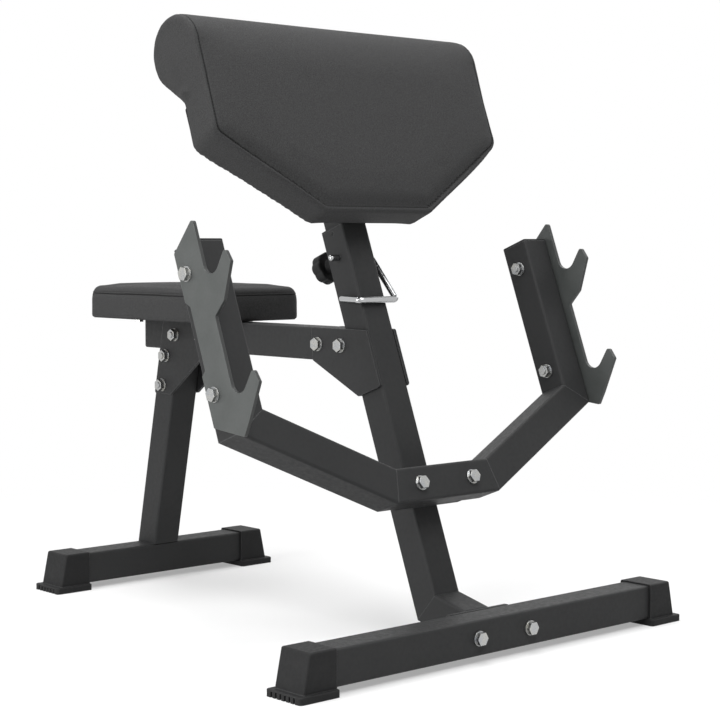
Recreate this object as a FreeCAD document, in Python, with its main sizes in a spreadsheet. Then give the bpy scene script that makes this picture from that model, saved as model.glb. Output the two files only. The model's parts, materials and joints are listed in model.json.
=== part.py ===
import FreeCAD, Part
import math
import os
import re
import Sketcher

# Preacher curl bench, in millimetres.  X runs across the bench, the lifter sits on +Y and faces -Y,
# Z is up and the floor is Z = 0.  The column, the bar yoke and the arm pad lean back together, so they
# are drawn upright in the column's own frame and tilted as one.

SIZES = [
    ("tube", 50, "outside width of the square frame tube"),
    ("wall", 2, "wall of the frame tube"),
    ("corner", 4, "outside corner radius of the frame tube"),
    ("foot_lift", 10, "underside of the foot beams above the floor"),
    ("front_beam_y", -407.7, "middle of the front foot beam"),
    ("front_beam_length", 690, "front foot beam, cut length"),
    ("rear_beam_y", 393.3, "middle of the rear foot beam"),
    ("rear_beam_length", 384, "rear foot beam, cut length"),
    ("cap_grip", 34.5, "length of beam held in a foot cap"),
    ("cap_wall", 4.5, "wall of a foot cap's sleeve"),
    ("cap_top", 2.5, "wall of a foot cap over the beam"),
    ("cap_end_wall", 12, "end wall of a foot cap at its top"),
    ("cap_end_slope", 11, "how far the end wall runs out towards its foot"),
    ("cap_toe", 10, "base of a foot cap beyond its end wall"),
    ("cap_ledge", 5.5, "base of a foot cap beyond its sleeve, each side"),
    ("cap_base", 10, "height of a foot cap's base"),
    ("cap_round", 5, "corner radius of a foot cap's base"),
    ("cap_slot_width", 4, "grip slot in the toe of a foot cap"),
    ("cap_slot_depth", 3, "depth of a grip slot"),
    ("cap_slot_pitch", 9, "spacing of the grip slots"),
    ("cap_slots", 6, "grip slots in a toe"),
    ("cap_play", 0.2, "play between a beam and its foot cap"),
    ("column_foot_y", -320.5, "where the column's axis meets the floor"),
    ("lean", 20.8, "lean of the column from upright, degrees"),
    ("column_top", 637, "top of the column, measured along it from the floor"),
    ("stub_slope", 13, "rise of the foot stub, degrees"),
    ("foot_flange_thickness", 5, "foot flange plate"),
    ("foot_flange_edge", 11, "foot flange plate beyond its bolts"),
    ("foot_bolt_spacing", 102, "foot flange bolts"),
    ("seat_beam_top", 447, "top of the seat beam above the floor"),
    ("seat_beam_rear", 388.8, "rear end of the seat beam"),
    ("post_lean", 12, "forward lean of the rear post, degrees"),
    ("gusset", 5, "thickness of the gusset plates"),
    ("front_gusset_edge", 16.5, "front gusset beyond its second bolt"),
    ("front_gusset_drop", 81, "front gusset down the front of the column"),
    ("front_gusset_bolt", 12, "first bolt behind the column"),
    ("front_gusset_pitch", 52, "spacing of the front gusset bolts"),
    ("rear_gusset_edge", 11, "rear gusset beyond its front bolt"),
    ("rear_gusset_toe", 15, "rear gusset below its lowest bolt"),
    ("rear_gusset_inset", 6, "post's rear edge showing past the rear gusset"),
    ("rear_gusset_bolt", 74, "front bolt of the rear gusset in front of the post"),
    ("rear_gusset_pitch", 75, "second bolt of the rear gusset behind the front one"),
    ("post_bolt_drop", 11, "upper post bolt below the seat beam"),
    ("post_bolt_pitch", 50, "spacing of the post bolts"),
    ("yoke_flange_thickness", 6, "yoke flange plate"),
    ("yoke_flange_edge", 20, "yoke flange plate beyond its bolts"),
    ("yoke_bolt_spacing", 102, "yoke bolts"),
    ("yoke_up", 223, "yoke cross tube, along the column from the floor"),
    ("yoke_cross_width", 180, "cross tube between its upper mitre corners"),
    ("yoke_clear_width", 597, "clear width between the uprights"),
    ("yoke_angle", 25.9, "rise of the diagonals, degrees"),
    ("upright_spare", 39.1, "upright beyond its upper hook plate bolt"),
    ("plug_rim", 3, "rim of a tube end plug"),
    ("plug_depth", 14, "depth of a tube end plug"),
    ("hook_plate", 5, "thickness of the bar hook plates"),
    ("hook_bolt_rise", 30, "lower hook plate bolt above the upright's mitre corner"),
    ("hook_bolt_spacing", 170, "hook plate bolts"),
    ("hook_pitch", 165.3, "upper hook above the lower hook"),
    ("hook_low", 33.1, "root of the lower hook below the lower bolt"),
    ("hook_front", 38.2, "front edge of a hook plate ahead of its bolts"),
    ("hook_back", 18, "rear edge of a hook plate behind its bolts"),
    ("hook_waist", 9, "relief in the rear edge"),
    ("hook_reach", 51.4, "prong ahead of the plate's front edge"),
    ("hook_rise", 42.2, "prong above the hook's root"),
    ("hook_under", 22.3, "underside of a prong below the hook's root"),
    ("hook_nose", 6.2, "nose of the prong ahead of its top"),
    ("hook_nose_drop", 21.5, "nose of the prong below its top"),
    ("hook_tip", 104, "top of the plate above the upper hook's root"),
    ("hook_seat_radius", 17, "root radius that the bar lies in"),
    ("bolt_diameter", 10, "frame bolts"),
    ("bolt_hole", 11, "clearance holes of the frame bolts"),
    ("bolt_across", 17, "heads and nuts across flats"),
    ("bolt_head", 6.4, "height of the bolt heads"),
    ("nut_height", 8, "height of the nuts"),
    ("washer_diameter", 21, "washers"),
    ("washer_thickness", 2, "washers"),
    ("bolt_spare", 1.5, "bolt end standing past its nut"),
    ("screw_diameter", 8, "cushion screws"),
    ("screw_across", 13, "cushion screw heads across flats"),
    ("screw_head", 5.3, "height of the cushion screw heads"),
    ("seat_width", 215, "seat cushion"),
    ("seat_length", 312, "seat cushion"),
    ("seat_rear", 443.5, "rear end of the seat cushion"),
    ("seat_corner", 20, "corner radius of the seat cushion"),
    ("seat_plate", 3, "thickness of the seat bracket"),
    ("seat_plate_width", 120, "seat bracket"),
    ("seat_plate_length", 236, "seat bracket"),
    ("seat_board", 12, "thickness of the seat board"),
    ("seat_height", 55, "seat cushion at the middle of its crown, board included"),
    ("seat_crown_radius", 1400, "radius of the seat cushion's crown"),
    ("seat_draw", 2, "how far the seat cushion's sides are drawn in"),
    ("seat_round", 7, "edge radius of the seat cushion's top"),
    ("board_inset", 5, "cushion boards inside their covers"),
    ("board_play", 0.3, "play between a board and its cushion"),
    ("inner_tube", 40, "outside width of the inner post"),
    ("inner_corner", 3, "outside corner radius of the inner post"),
    ("inner_play", 0.2, "play of the inner post in its bushing, each side"),
    ("inner_overlap", 237, "inner post inside the column with the pad down"),
    ("inner_reach", 151, "inner post above the column with the pad down"),
    ("pad_travel", 120, "height adjustment of the arm pad"),
    ("bushing_depth", 32, "guide bushing inside the column"),
    ("bushing_rim", 2, "rim of the guide bushing"),
    ("pip_drop", 8, "snap pip below the column's top"),
    ("pip_diameter", 6, "snap pip of the guide bushing"),
    ("shoe_height", 24, "guide shoe on the foot of the inner post"),
    ("bar_height", 30, "cross bars behind the arm pad"),
    ("bar_depth", 19, "cross bars behind the arm pad"),
    ("bar_length", 260, "cross bars behind the arm pad"),
    ("bar_low", 53, "lower cross bar above the column's top, pad down"),
    ("bar_pitch", 72, "upper cross bar above the lower one"),
    ("bar_screws", 190, "spacing of the screws along a cross bar"),
    ("pad_low", 2.5, "foot of the arm pad below the column's top, pad down"),
    ("pad_width", 560, "arm pad"),
    ("pad_foot_width", 208, "foot of the arm pad between its cut corners"),
    ("pad_corner_rise", 108, "cut corners of the arm pad"),
    ("pad_thickness", 50, "arm pad at its foot"),
    ("pad_height", 301.5, "arm pad from its foot to the top of the roll"),
    ("pad_roll", 52, "radius of the armpit roll"),
    ("pad_swell", 10, "how far the roll stands out past the foot of the pad"),
    ("pad_crown_radius", 3000, "radius of the arm pad's crown"),
    ("pad_neck", 172, "neck under the roll above the foot of the pad"),
    ("pad_draw", 2, "how far the arm pad's sides are drawn in"),
    ("pad_round", 8, "edge radius of the arm pad"),
    ("pad_corner", 14, "corner radius of the arm pad's outline"),
    ("pad_board", 12, "thickness of the arm pad board"),
    ("pin_drop", 46, "lock pin below the column's top"),
    ("pin_diameter", 10, "lock pin rod"),
    ("pin_play", 0.06, "play of the lock pin in the column, all round"),
    ("pin_bend", 6.5, "bend radius of the lock pin"),
    ("pin_gap", 1, "lock pin handle clear of the column"),
    ("pin_far", 16, "far leg of the lock pin outside the column"),
    ("pin_tip", 18, "tip of the lock pin outside the column"),
    ("pin_arm", 78, "handle below the lock pin"),
    ("pin_tail_rise", 17, "free end of the handle above its front leg"),
    ("pin_tail_back", 42, "free end of the handle behind its front leg"),
    ("slot_play", 0.3, "play of the lock pin in the inner post, all round"),
    ("knob_drop", 42, "clamp knob below the column's top"),
    ("knob_hub", 22, "hub of the clamp knob"),
    ("knob_hub_length", 15, "hub of the clamp knob"),
    ("knob_core", 38, "core of the star knob"),
    ("knob_lobe", 24, "lobes of the star knob"),
    ("knob_lobe_circle", 24, "circle through the middles of the lobes"),
    ("knob_lobes", 8, "lobes of the star knob"),
    ("knob_hollow", 3, "radius of the hollows between the lobes"),
    ("knob_height", 18, "height of the star knob"),
    ("boss_diameter", 21, "threaded boss on the column"),
    ("boss_height", 7.5, "threaded boss on the column"),
    ("stud_diameter", 10, "threaded stud of the clamp knob"),
    ("stud_play", 0.06, "play of the stud in its boss, all round"),
    ("thrust_diameter", 8.4, "thrust pad of the clamp"),
    ("thrust_gap", 0.3, "thrust pad clear of the inner post"),
]

doc = FreeCAD.newDocument("preacher_curl_bench")
sheet = doc.addObject("Spreadsheet::Sheet", "Sizes")
for row, (name, size, meaning) in enumerate(SIZES, 1):
    sheet.set("A%d" % row, meaning)
    sheet.set("B%d" % row, str(size))
    sheet.setAlias("B%d" % row, name)
doc.recompute()

ALIASES = re.compile(r"\b(" + "|".join(name for name, size, meaning in SIZES) + r")\b")
AXES = {"x": "1; 0; 0", "y": "0; 1; 0", "z": "0; 0; 1"}
NODES = []


def formula(text):
    """Write a size's name the way the sheet's cells are addressed."""
    return ALIASES.sub(r"Sizes.\1", str(text))


def value(text):
    return float(sheet.evalExpression(formula(text)))


def bind(thing, prop, text):
    thing.setExpression(prop, formula(text))


def shift(x, y, z):
    return "placement(vector(%s; %s; %s); rotation(vector(0; 0; 1); 0))" % (x, y, z)


def turn(axis, angle):
    return "placement(vector(0; 0; 0); rotation(vector(%s); %s))" % (AXES[axis], angle)


def place(thing, *steps):
    bind(thing, "Placement", " * ".join(steps))


def node(thing, label):
    thing.Label = label
    NODES.append(thing)
    return thing


def body(label):
    return node(doc.addObject("PartDesign::Body", label), label)


def draw(owner, plane, offset="0"):
    """Start a sketch on one of the body's own planes, moved along the plane's normal."""
    sketch = owner.newObject("Sketcher::SketchObject", owner.Name + "_sketch")
    face = next(f for f in owner.Origin.OriginFeatures if f.Role == plane + "_Plane")
    sketch.AttachmentSupport = (face, "")
    sketch.MapMode = "FlatFace"
    bind(sketch, "AttachmentOffset.Base.z", offset)
    return sketch


def rule(sketch, text, *args):
    """Add a constraint whose value follows a formula."""
    number = sketch.addConstraint(Sketcher.Constraint(*args, value(text)))
    sketch.setExpression("Constraints[%d]" % number, formula(text))


def pin_down(sketch, geometry, vertex, x, y):
    rule(sketch, x, "DistanceX", -1, 1, geometry, vertex)
    rule(sketch, y, "DistanceY", -1, 1, geometry, vertex)


def outline(sketch, corners, bows=None):
    """Closed outline through the corners, anticlockwise; a bow bulges that side out or draws it in."""
    bows = bows or {}
    spots = [FreeCAD.Vector(value(x), value(y), 0) for x, y in corners]
    sides = []
    for k, start in enumerate(spots):
        stop = spots[(k + 1) % len(spots)]
        if k not in bows:
            sides.append((sketch.addGeometry(Part.LineSegment(start, stop)), 1, 2))
            continue
        chord = stop - start
        bow = value(bows[k])
        bend = (chord.Length ** 2 / 4 + bow ** 2) / (2 * abs(bow))
        outward = FreeCAD.Vector(chord.y, -chord.x, 0).normalize()
        centre = (start + stop) * 0.5 + outward * (bow - math.copysign(bend, bow))
        first, last = (start, stop) if bow > 0 else (stop, start)
        angles = [math.atan2(spot.y - centre.y, spot.x - centre.x) for spot in (first, last)]
        ring = Part.Circle(centre, FreeCAD.Vector(0, 0, 1), bend)
        arc = sketch.addGeometry(Part.ArcOfCircle(ring, *angles))
        sides.append((arc, 1, 2) if bow > 0 else (arc, 2, 1))
        (xa, ya), (xb, yb) = corners[k], corners[(k + 1) % len(corners)]
        half = "((((%s) - (%s))^2 + ((%s) - (%s))^2) / 4)" % (xb, xa, yb, ya)
        rule(sketch, "(%s + (%s)^2) / (2 * abs(%s))" % (half, bows[k], bows[k]), "Radius", arc)
    for k, (geometry, first, last) in enumerate(sides):
        before = sides[k - 1]
        sketch.addConstraint(Sketcher.Constraint("Coincident", before[0], before[2], geometry, first))
        pin_down(sketch, geometry, first, *corners[k])


def rectangle(sketch, x0, x1, y0, y1):
    outline(sketch, [(x0, y0), (x1, y0), (x1, y1), (x0, y1)])


def rounded_rectangle(sketch, x0, x1, y0, y1, radius):
    """Rectangle with tangent corner arcs, all of one radius."""
    left, right, low, high, r = value(x0), value(x1), value(y0), value(y1), value(radius)
    spots = [(right, low, -90, (-1, 1)), (right, high, 0, (-1, -1)),
             (left, high, 90, (1, -1)), (left, low, 180, (1, 1))]
    edges = [((left + r, low), (right - r, low)), ((right, low + r), (right, high - r)),
             ((right - r, high), (left + r, high)), ((left, high - r), (left, low + r))]
    lines = []
    arcs = []
    for (ax, ay), (bx, by) in edges:
        line = Part.LineSegment(FreeCAD.Vector(ax, ay, 0), FreeCAD.Vector(bx, by, 0))
        lines.append(sketch.addGeometry(line))
    for x, y, start, (sx, sy) in spots:
        ring = Part.Circle(FreeCAD.Vector(x + sx * r, y + sy * r, 0), FreeCAD.Vector(0, 0, 1), r)
        arc = Part.ArcOfCircle(ring, math.radians(start), math.radians(start + 90))
        arcs.append(sketch.addGeometry(arc))
    for k in range(4):
        sketch.addConstraint(Sketcher.Constraint("Tangent", lines[k], 2, arcs[k], 1))
        sketch.addConstraint(Sketcher.Constraint("Tangent", arcs[k], 2, lines[(k + 1) % 4], 1))
        sketch.addConstraint(Sketcher.Constraint("Vertical" if k % 2 else "Horizontal", lines[k]))
        if k:
            sketch.addConstraint(Sketcher.Constraint("Equal", arcs[0], arcs[k]))
    rule(sketch, radius, "Radius", arcs[0])
    rule(sketch, y0, "DistanceY", -1, 1, lines[0], 1)
    rule(sketch, x1, "DistanceX", -1, 1, lines[1], 1)
    rule(sketch, y1, "DistanceY", -1, 1, lines[2], 1)
    rule(sketch, x0, "DistanceX", -1, 1, lines[3], 1)


def circle(sketch, x, y, diameter):
    spot = FreeCAD.Vector(value(x), value(y), 0)
    ring = sketch.addGeometry(Part.Circle(spot, FreeCAD.Vector(0, 0, 1), value(diameter) / 2))
    rule(sketch, diameter, "Diameter", ring)
    pin_down(sketch, ring, 3, x, y)


def feature(owner, kind, sketch, length, both, back):
    made = owner.newObject("PartDesign::" + kind, "%s_%s" % (owner.Name, kind.lower()))
    made.Profile = sketch
    bind(made, "Length", length)
    made.SideType = "Symmetric" if both else "One side"
    made.Reversed = back
    return made


def pad(owner, sketch, length, both=False, back=False):
    return feature(owner, "Pad", sketch, length, both, back)


def pocket(owner, sketch, length, both=False, back=False):
    return feature(owner, "Pocket", sketch, length, both, back)


def fillet(owner, base, radius, wanted):
    """Round the edges of a feature that a test picks out."""
    doc.recompute()
    names = ["Edge%d" % k for k, edge in enumerate(base.Shape.Edges, 1) if wanted(edge)]
    if not names:
        raise RuntimeError("no edge to round on " + owner.Label)
    made = owner.newObject("PartDesign::Fillet", owner.Name + "_fillet")
    made.Base = (base, names)
    bind(made, "Radius", radius)
    return made


def straight(edge, axis):
    """True where an edge is a straight line along an axis."""
    if not isinstance(edge.Curve, Part.Line) or len(edge.Vertexes) < 2:
        return False
    run = edge.Vertexes[1].Point - edge.Vertexes[0].Point
    return abs(abs(getattr(run, axis)) - run.Length) < 1e-4


def near(edge, **where):
    """True where every end of an edge has the given coordinates."""
    return all(abs(getattr(end.Point, axis) - spot) < 0.02
               for end in edge.Vertexes for axis, spot in where.items())


def tube(label, wide, deep, thick, radius, length, start, end, bend="YZ"):
    """Rectangular tube along its own Z, its ends cut to planes that slope across the bend plane."""
    made = body(label)
    section = draw(made, "XY", "-(%s)" % wide)
    rounded_rectangle(section, "-(%s) / 2" % wide, "(%s) / 2" % wide, "-(%s) / 2" % deep,
                      "(%s) / 2" % deep, radius)
    rounded_rectangle(section, "-(%s) / 2 + %s" % (wide, thick), "(%s) / 2 - %s" % (wide, thick),
                      "-(%s) / 2 + %s" % (deep, thick), "(%s) / 2 - %s" % (deep, thick),
                      "max(%s - %s; 0.5)" % (radius, thick))
    pad(made, section, "%s + 2 * (%s)" % (length, wide))
    low = draw(made, bend)
    outline(low, [("-(%s)" % wide, "-2 * (%s)" % wide), (wide, "-2 * (%s)" % wide),
                  (wide, "(%s) * (%s)" % (wide, start)), ("-(%s)" % wide, "-(%s) * (%s)" % (wide, start))])
    pocket(made, low, "2 * (%s)" % wide, both=True)
    high = draw(made, bend)
    outline(high, [("-(%s)" % wide, "%s - (%s) * (%s)" % (length, wide, end)),
                   (wide, "%s + (%s) * (%s)" % (length, wide, end)),
                   (wide, "%s + 2 * (%s)" % (length, wide)),
                   ("-(%s)" % wide, "%s + 2 * (%s)" % (length, wide))])
    pocket(made, high, "2 * (%s)" % wide, both=True)
    return made


def frame_tube(label, length, start="0", end="0", bend="YZ"):
    return tube(label, "tube", "tube", "wall", "corner", length, start, end, bend)


def drill(owner, plane, spots, diameter, depth="2 * tube"):
    """Holes right through, square to one of the body's planes."""
    sketch = draw(owner, plane)
    for x, y in spots:
        circle(sketch, x, y, diameter)
    return pocket(owner, sketch, depth, both=True)


def cylinder(name, diameter, length, base="0"):
    made = doc.addObject("Part::Cylinder", name)
    bind(made, "Radius", "(%s) / 2" % diameter)
    bind(made, "Height", length)
    bind(made, "Placement.Base.z", base)
    return made


def hexagon(name, across, height, base):
    made = doc.addObject("Part::Prism", name)
    made.Polygon = 6
    bind(made, "Circumradius", "%s / 2 / cos(30)" % across)
    bind(made, "Height", height)
    bind(made, "Placement.Base.z", base)
    return made


def joined(kind, base, tool):
    made = doc.addObject("Part::" + kind, base.Name + "_" + kind.lower())
    made.Base = base
    made.Tool = tool
    return made


def group(label, things):
    made = doc.addObject("Part::Compound", label)
    made.Links = things
    return node(made, label)


def screws(label, spots, length):
    """Hexagon screws whose heads bear on the plane of each spot and point along its Z."""
    made = []
    for spot in spots:
        head = hexagon(label + "_head", "screw_across", "screw_head", "-screw_head")
        shank = cylinder(label + "_shank", "screw_diameter", length)
        whole = joined("Fuse", head, shank)
        place(whole, spot)
        made.append(whole)
    return group(label, made)


def bolted(prefix, spots, grip):
    """Bolts with a washer under each head and each nut; a spot is the clamped face on the head's side."""
    bolts = []
    washers = []
    nuts = []
    for spot in spots:
        head = hexagon(prefix + "_head", "bolt_across", "bolt_head", "-washer_thickness - bolt_head")
        shank = cylinder(prefix + "_shank", "bolt_diameter",
                         "%s + 2 * washer_thickness + nut_height + bolt_spare" % grip, "-washer_thickness")
        bolts.append(joined("Fuse", head, shank))
        for base in ("-washer_thickness", grip):
            disc = cylinder(prefix + "_washer", "washer_diameter", "washer_thickness", base)
            bore = cylinder(prefix + "_washer_bore", "bolt_diameter + 0.5", "washer_thickness", base)
            washers.append(joined("Cut", disc, bore))
        seat = "%s + washer_thickness" % grip
        nut = hexagon(prefix + "_nut", "bolt_across", "nut_height", seat)
        thread = cylinder(prefix + "_thread", "bolt_diameter + 0.1", "nut_height", seat)
        nuts.append(joined("Cut", nut, thread))
        for made in (bolts[-1], washers[-2], washers[-1], nuts[-1]):
            place(made, spot)
    group(prefix + "_bolts", bolts)
    group(prefix + "_washers", washers)
    group(prefix + "_nuts", nuts)


def plug(label, *steps):
    """Plastic end plug: a rim over the tube's end, at Z = 0, and a hollow neck inside it."""
    made = body(label)
    rim = draw(made, "XY")
    rounded_rectangle(rim, "-tube / 2", "tube / 2", "-tube / 2", "tube / 2", "corner")
    top = pad(made, rim, "plug_rim")
    neck = draw(made, "XY")
    inside = "(tube / 2 - wall - 0.2)"
    rounded_rectangle(neck, "-" + inside, inside, "-" + inside, inside, "max(corner - wall; 0.5)")
    rectangle(neck, "-%s + wall" % inside, "%s - wall" % inside, "-%s + wall" % inside, "%s - wall" % inside)
    whole = pad(made, neck, "plug_depth", back=True)
    rim_top = value("plug_rim")
    fillet(made, whole, "plug_rim / 2", lambda edge: near(edge, z=rim_top))
    place(made, *steps)
    return made


# Feet: two square beams, each with a moulded cap pushed on both ends.

BEAM_Z = "(foot_lift + tube / 2)"
BEAM_TOP = "(foot_lift + tube)"

front_beam = frame_tube("front_foot_beam", "front_beam_length")
drill(front_beam, "XZ", [("0", "front_beam_length / 2 - foot_bolt_spacing / 2"),
                         ("0", "front_beam_length / 2 + foot_bolt_spacing / 2")], "bolt_hole")
place(front_beam, shift("-front_beam_length / 2", "front_beam_y", BEAM_Z), turn("y", "90"))

rear_beam = frame_tube("rear_foot_beam", "rear_beam_length")
place(rear_beam, shift("-rear_beam_length / 2", "rear_beam_y", BEAM_Z), turn("y", "90"))


def foot_cap(label, *steps):
    """Foot cap drawn with the beam's end at X = 0 and the sole on the floor."""
    made = body(label)
    toe = "(cap_end_wall + cap_end_slope + cap_toe)"
    side = "(tube / 2 + cap_wall + cap_ledge)"
    top = "(%s + cap_top)" % BEAM_TOP
    sole = draw(made, "XY")
    rounded_rectangle(sole, "-cap_grip", toe, "-" + side, side, "cap_round")
    pad(made, sole, "cap_base")
    sleeve = draw(made, "XZ")
    outline(sleeve, [("-cap_grip + 2", "cap_base / 2"), ("cap_end_wall + cap_end_slope", "cap_base / 2"),
                     ("cap_end_wall + cap_end_slope", "cap_base"), ("cap_end_wall", top),
                     ("-cap_grip + 2", top)])
    whole = pad(made, sleeve, "tube + 2 * cap_wall", both=True)
    grip, high, foot = -value("cap_grip"), value(top), value("cap_base")
    width = value("tube / 2 + cap_wall")

    def sleeve_edge(edge):
        if near(edge, x=grip + 2) or near(edge, z=foot):
            return False
        ends = [end.Point for end in edge.Vertexes]
        return all(abs(abs(end.y) - width) < 0.02 and end.z > foot - 0.02 for end in ends) and \
            max(end.z for end in ends) > high - 0.02

    round_sleeve = fillet(made, whole, "3.5", sleeve_edge)
    fillet(made, round_sleeve, "1.5", lambda edge: near(edge, z=foot) and
           min(abs(end.Point.y) for end in edge.Vertexes) > width + 1 and
           edge.BoundBox.XMin > grip - 0.5)
    socket = draw(made, "YZ", "-cap_grip - 3")
    rectangle(socket, "-tube / 2 - cap_play", "tube / 2 + cap_play", "foot_lift", "%s + cap_play" % BEAM_TOP)
    pocket(made, socket, "cap_grip + 3", back=True)
    slot = draw(made, "XY")
    outline(slot, [(toe + " - cap_slot_depth", "-(cap_slots - 1) * cap_slot_pitch / 2 - cap_slot_width / 2"),
                   (toe + " + 1", "-(cap_slots - 1) * cap_slot_pitch / 2 - cap_slot_width / 2"),
                   (toe + " + 1", "-(cap_slots - 1) * cap_slot_pitch / 2 + cap_slot_width / 2"),
                   (toe + " - cap_slot_depth", "-(cap_slots - 1) * cap_slot_pitch / 2 + cap_slot_width / 2")])
    groove = pocket(made, slot, "cap_base * 0.8", back=True)
    row = made.newObject("PartDesign::LinearPattern", label + "_slots")
    row.Originals = [groove]
    row.Direction = (slot, ["V_Axis"])
    bind(row, "Length", "(cap_slots - 1) * cap_slot_pitch")
    bind(row, "Occurrences", "cap_slots")
    made.Tip = row
    place(made, *steps)


for which in ("front", "rear"):
    for hand, half_turn in (("left", "180"), ("right", "0")):
        reach = "%s%s_beam_length / 2" % ("-" if hand == "left" else "", which)
        foot_cap("%s_foot_cap_%s" % (which, hand), shift(reach, which + "_beam_y", "0"),
                 turn("z", half_turn))


# Column: a leaning sleeve on a mitred stub, welded to a flange that bolts to the front beam.

LEANING = shift("0", "column_foot_y", "0") + " * " + turn("x", "-lean")
FLANGE_Y = "(front_beam_y + tube / 2 + foot_flange_thickness)"
ELBOW_Z = ("((%s + (column_foot_y - %s) * tan(stub_slope)) / (1 - tan(lean) * tan(stub_slope)))"
           % (BEAM_Z, FLANGE_Y))
ELBOW_UP = "(%s / cos(lean))" % ELBOW_Z
ELBOW_MITRE = "tan((90 - lean - stub_slope) / 2)"
STUB_LENGTH = "((column_foot_y + %s * tan(lean) - %s) / cos(stub_slope))" % (ELBOW_Z, FLANGE_Y)

flange = body("column_foot_flange")
plate = draw(flange, "XZ")
half = "(foot_bolt_spacing / 2 + foot_flange_edge)"
rounded_rectangle(plate, "-" + half, half, "-tube / 2", "tube / 2", "6")
for x in ("-foot_bolt_spacing / 2", "foot_bolt_spacing / 2"):
    circle(plate, x, "0", "bolt_hole")
pad(flange, plate, "foot_flange_thickness", back=True)
place(flange, shift("0", "front_beam_y + tube / 2", BEAM_Z))

stub = frame_tube("column_foot_stub", STUB_LENGTH, "-tan(stub_slope)", ELBOW_MITRE)
place(stub, shift("0", FLANGE_Y, BEAM_Z), turn("x", "stub_slope - 90"))

column = frame_tube("column", "(column_top - %s)" % ELBOW_UP, "-" + ELBOW_MITRE)
drill(column, "YZ", [("0", "column_top - pin_drop - " + ELBOW_UP)], "pin_diameter + 2 * pin_play")
drill(column, "YZ", [("0", "column_top - pip_drop - " + ELBOW_UP)], "pip_diameter")
screw_hole = draw(column, "XZ")
circle(screw_hole, "0", "column_top - knob_drop - " + ELBOW_UP, "stud_diameter + 1")
pocket(column, screw_hole, "tube")
place(column, LEANING, shift("0", "0", ELBOW_UP))

bolted("foot_flange", [shift(x, "front_beam_y - tube / 2", BEAM_Z) + " * " + turn("x", "-90")
                       for x in ("-foot_bolt_spacing / 2", "foot_bolt_spacing / 2")],
       "(tube + foot_flange_thickness)")

bushing = body("column_bushing")
ring = draw(bushing, "XY")
bush_out = "(tube / 2 - wall - 0.1)"
bush_in = "(inner_tube / 2 + inner_play)"
rounded_rectangle(ring, "-" + bush_out, bush_out, "-" + bush_out, bush_out, "max(corner - wall; 0.5)")
rounded_rectangle(ring, "-" + bush_in, bush_in, "-" + bush_in, bush_in, "inner_corner")
pad(bushing, ring, "bushing_depth", back=True)
lip = draw(bushing, "XY")
rounded_rectangle(lip, "-tube / 2", "tube / 2", "-tube / 2", "tube / 2", "corner")
rounded_rectangle(lip, "-" + bush_in, bush_in, "-" + bush_in, bush_in, "inner_corner")
pad(bushing, lip, "bushing_rim")
pips = draw(bushing, "YZ")
circle(pips, "0", "-pip_drop", "pip_diameter - 0.1")
pad(bushing, pips, "tube - 0.4", both=True)
bore = draw(bushing, "XY", "-bushing_depth")
rounded_rectangle(bore, "-" + bush_in, bush_in, "-" + bush_in, bush_in, "inner_corner")
pocket(bushing, bore, "bushing_depth", back=True)
place(bushing, LEANING, shift("0", "0", "column_top"))


# Seat frame: a beam from the column to the rear post, bolted between pairs of gusset plates.

SEAT_BEAM_Z = "(seat_beam_top - tube / 2)"
COLUMN_BACK = "(column_foot_y + tube / 2 / cos(lean))"
COLUMN_FACE = "(column_foot_y - tube / 2 / cos(lean))"
SEAT_BEAM_Y = "(%s + %s * tan(lean))" % (COLUMN_BACK, SEAT_BEAM_Z)
POST_HEIGHT = "(seat_beam_top - tube - %s)" % BEAM_TOP
POST_BACK = "(rear_beam_y + tube / 2 / cos(post_lean))"
POST_FACE = "(rear_beam_y - tube / 2 / cos(post_lean))"
POST_TOP_FACE = "(%s - %s * tan(post_lean))" % (POST_FACE, POST_HEIGHT)
POST_BOLT_1 = "(seat_beam_top - tube - post_bolt_drop)"
POST_BOLT_2 = "(%s - post_bolt_pitch)" % POST_BOLT_1
FRONT_BOLTS = ["(%s + front_gusset_bolt)" % SEAT_BEAM_Y,
               "(%s + front_gusset_bolt + front_gusset_pitch)" % SEAT_BEAM_Y]
REAR_BOLTS = ["(%s - rear_gusset_bolt)" % POST_TOP_FACE,
              "(%s - rear_gusset_bolt + rear_gusset_pitch)" % POST_TOP_FACE]

seat_beam = frame_tube("seat_beam", "(seat_beam_rear - %s)" % SEAT_BEAM_Y, "-tan(lean)")
drill(seat_beam, "YZ", [("0", "%s - %s" % (y, SEAT_BEAM_Y)) for y in FRONT_BOLTS + REAR_BOLTS], "bolt_hole")
place(seat_beam, shift("0", SEAT_BEAM_Y, SEAT_BEAM_Z), turn("x", "-90"))
plug("seat_beam_plug", shift("0", "seat_beam_rear", SEAT_BEAM_Z), turn("x", "-90"))

rear_post = frame_tube("rear_post", "(%s / cos(post_lean))" % POST_HEIGHT, "-tan(post_lean)",
                       "-tan(post_lean)")
drill(rear_post, "YZ", [("0", "(%s - %s) / cos(post_lean)" % (z, BEAM_TOP))
                        for z in (POST_BOLT_1, POST_BOLT_2)], "bolt_hole")
place(rear_post, shift("0", "rear_beam_y", BEAM_TOP), turn("x", "post_lean"))


def post_axis(z):
    return "(rear_beam_y - (%s - %s) * tan(post_lean))" % (z, BEAM_TOP)


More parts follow.
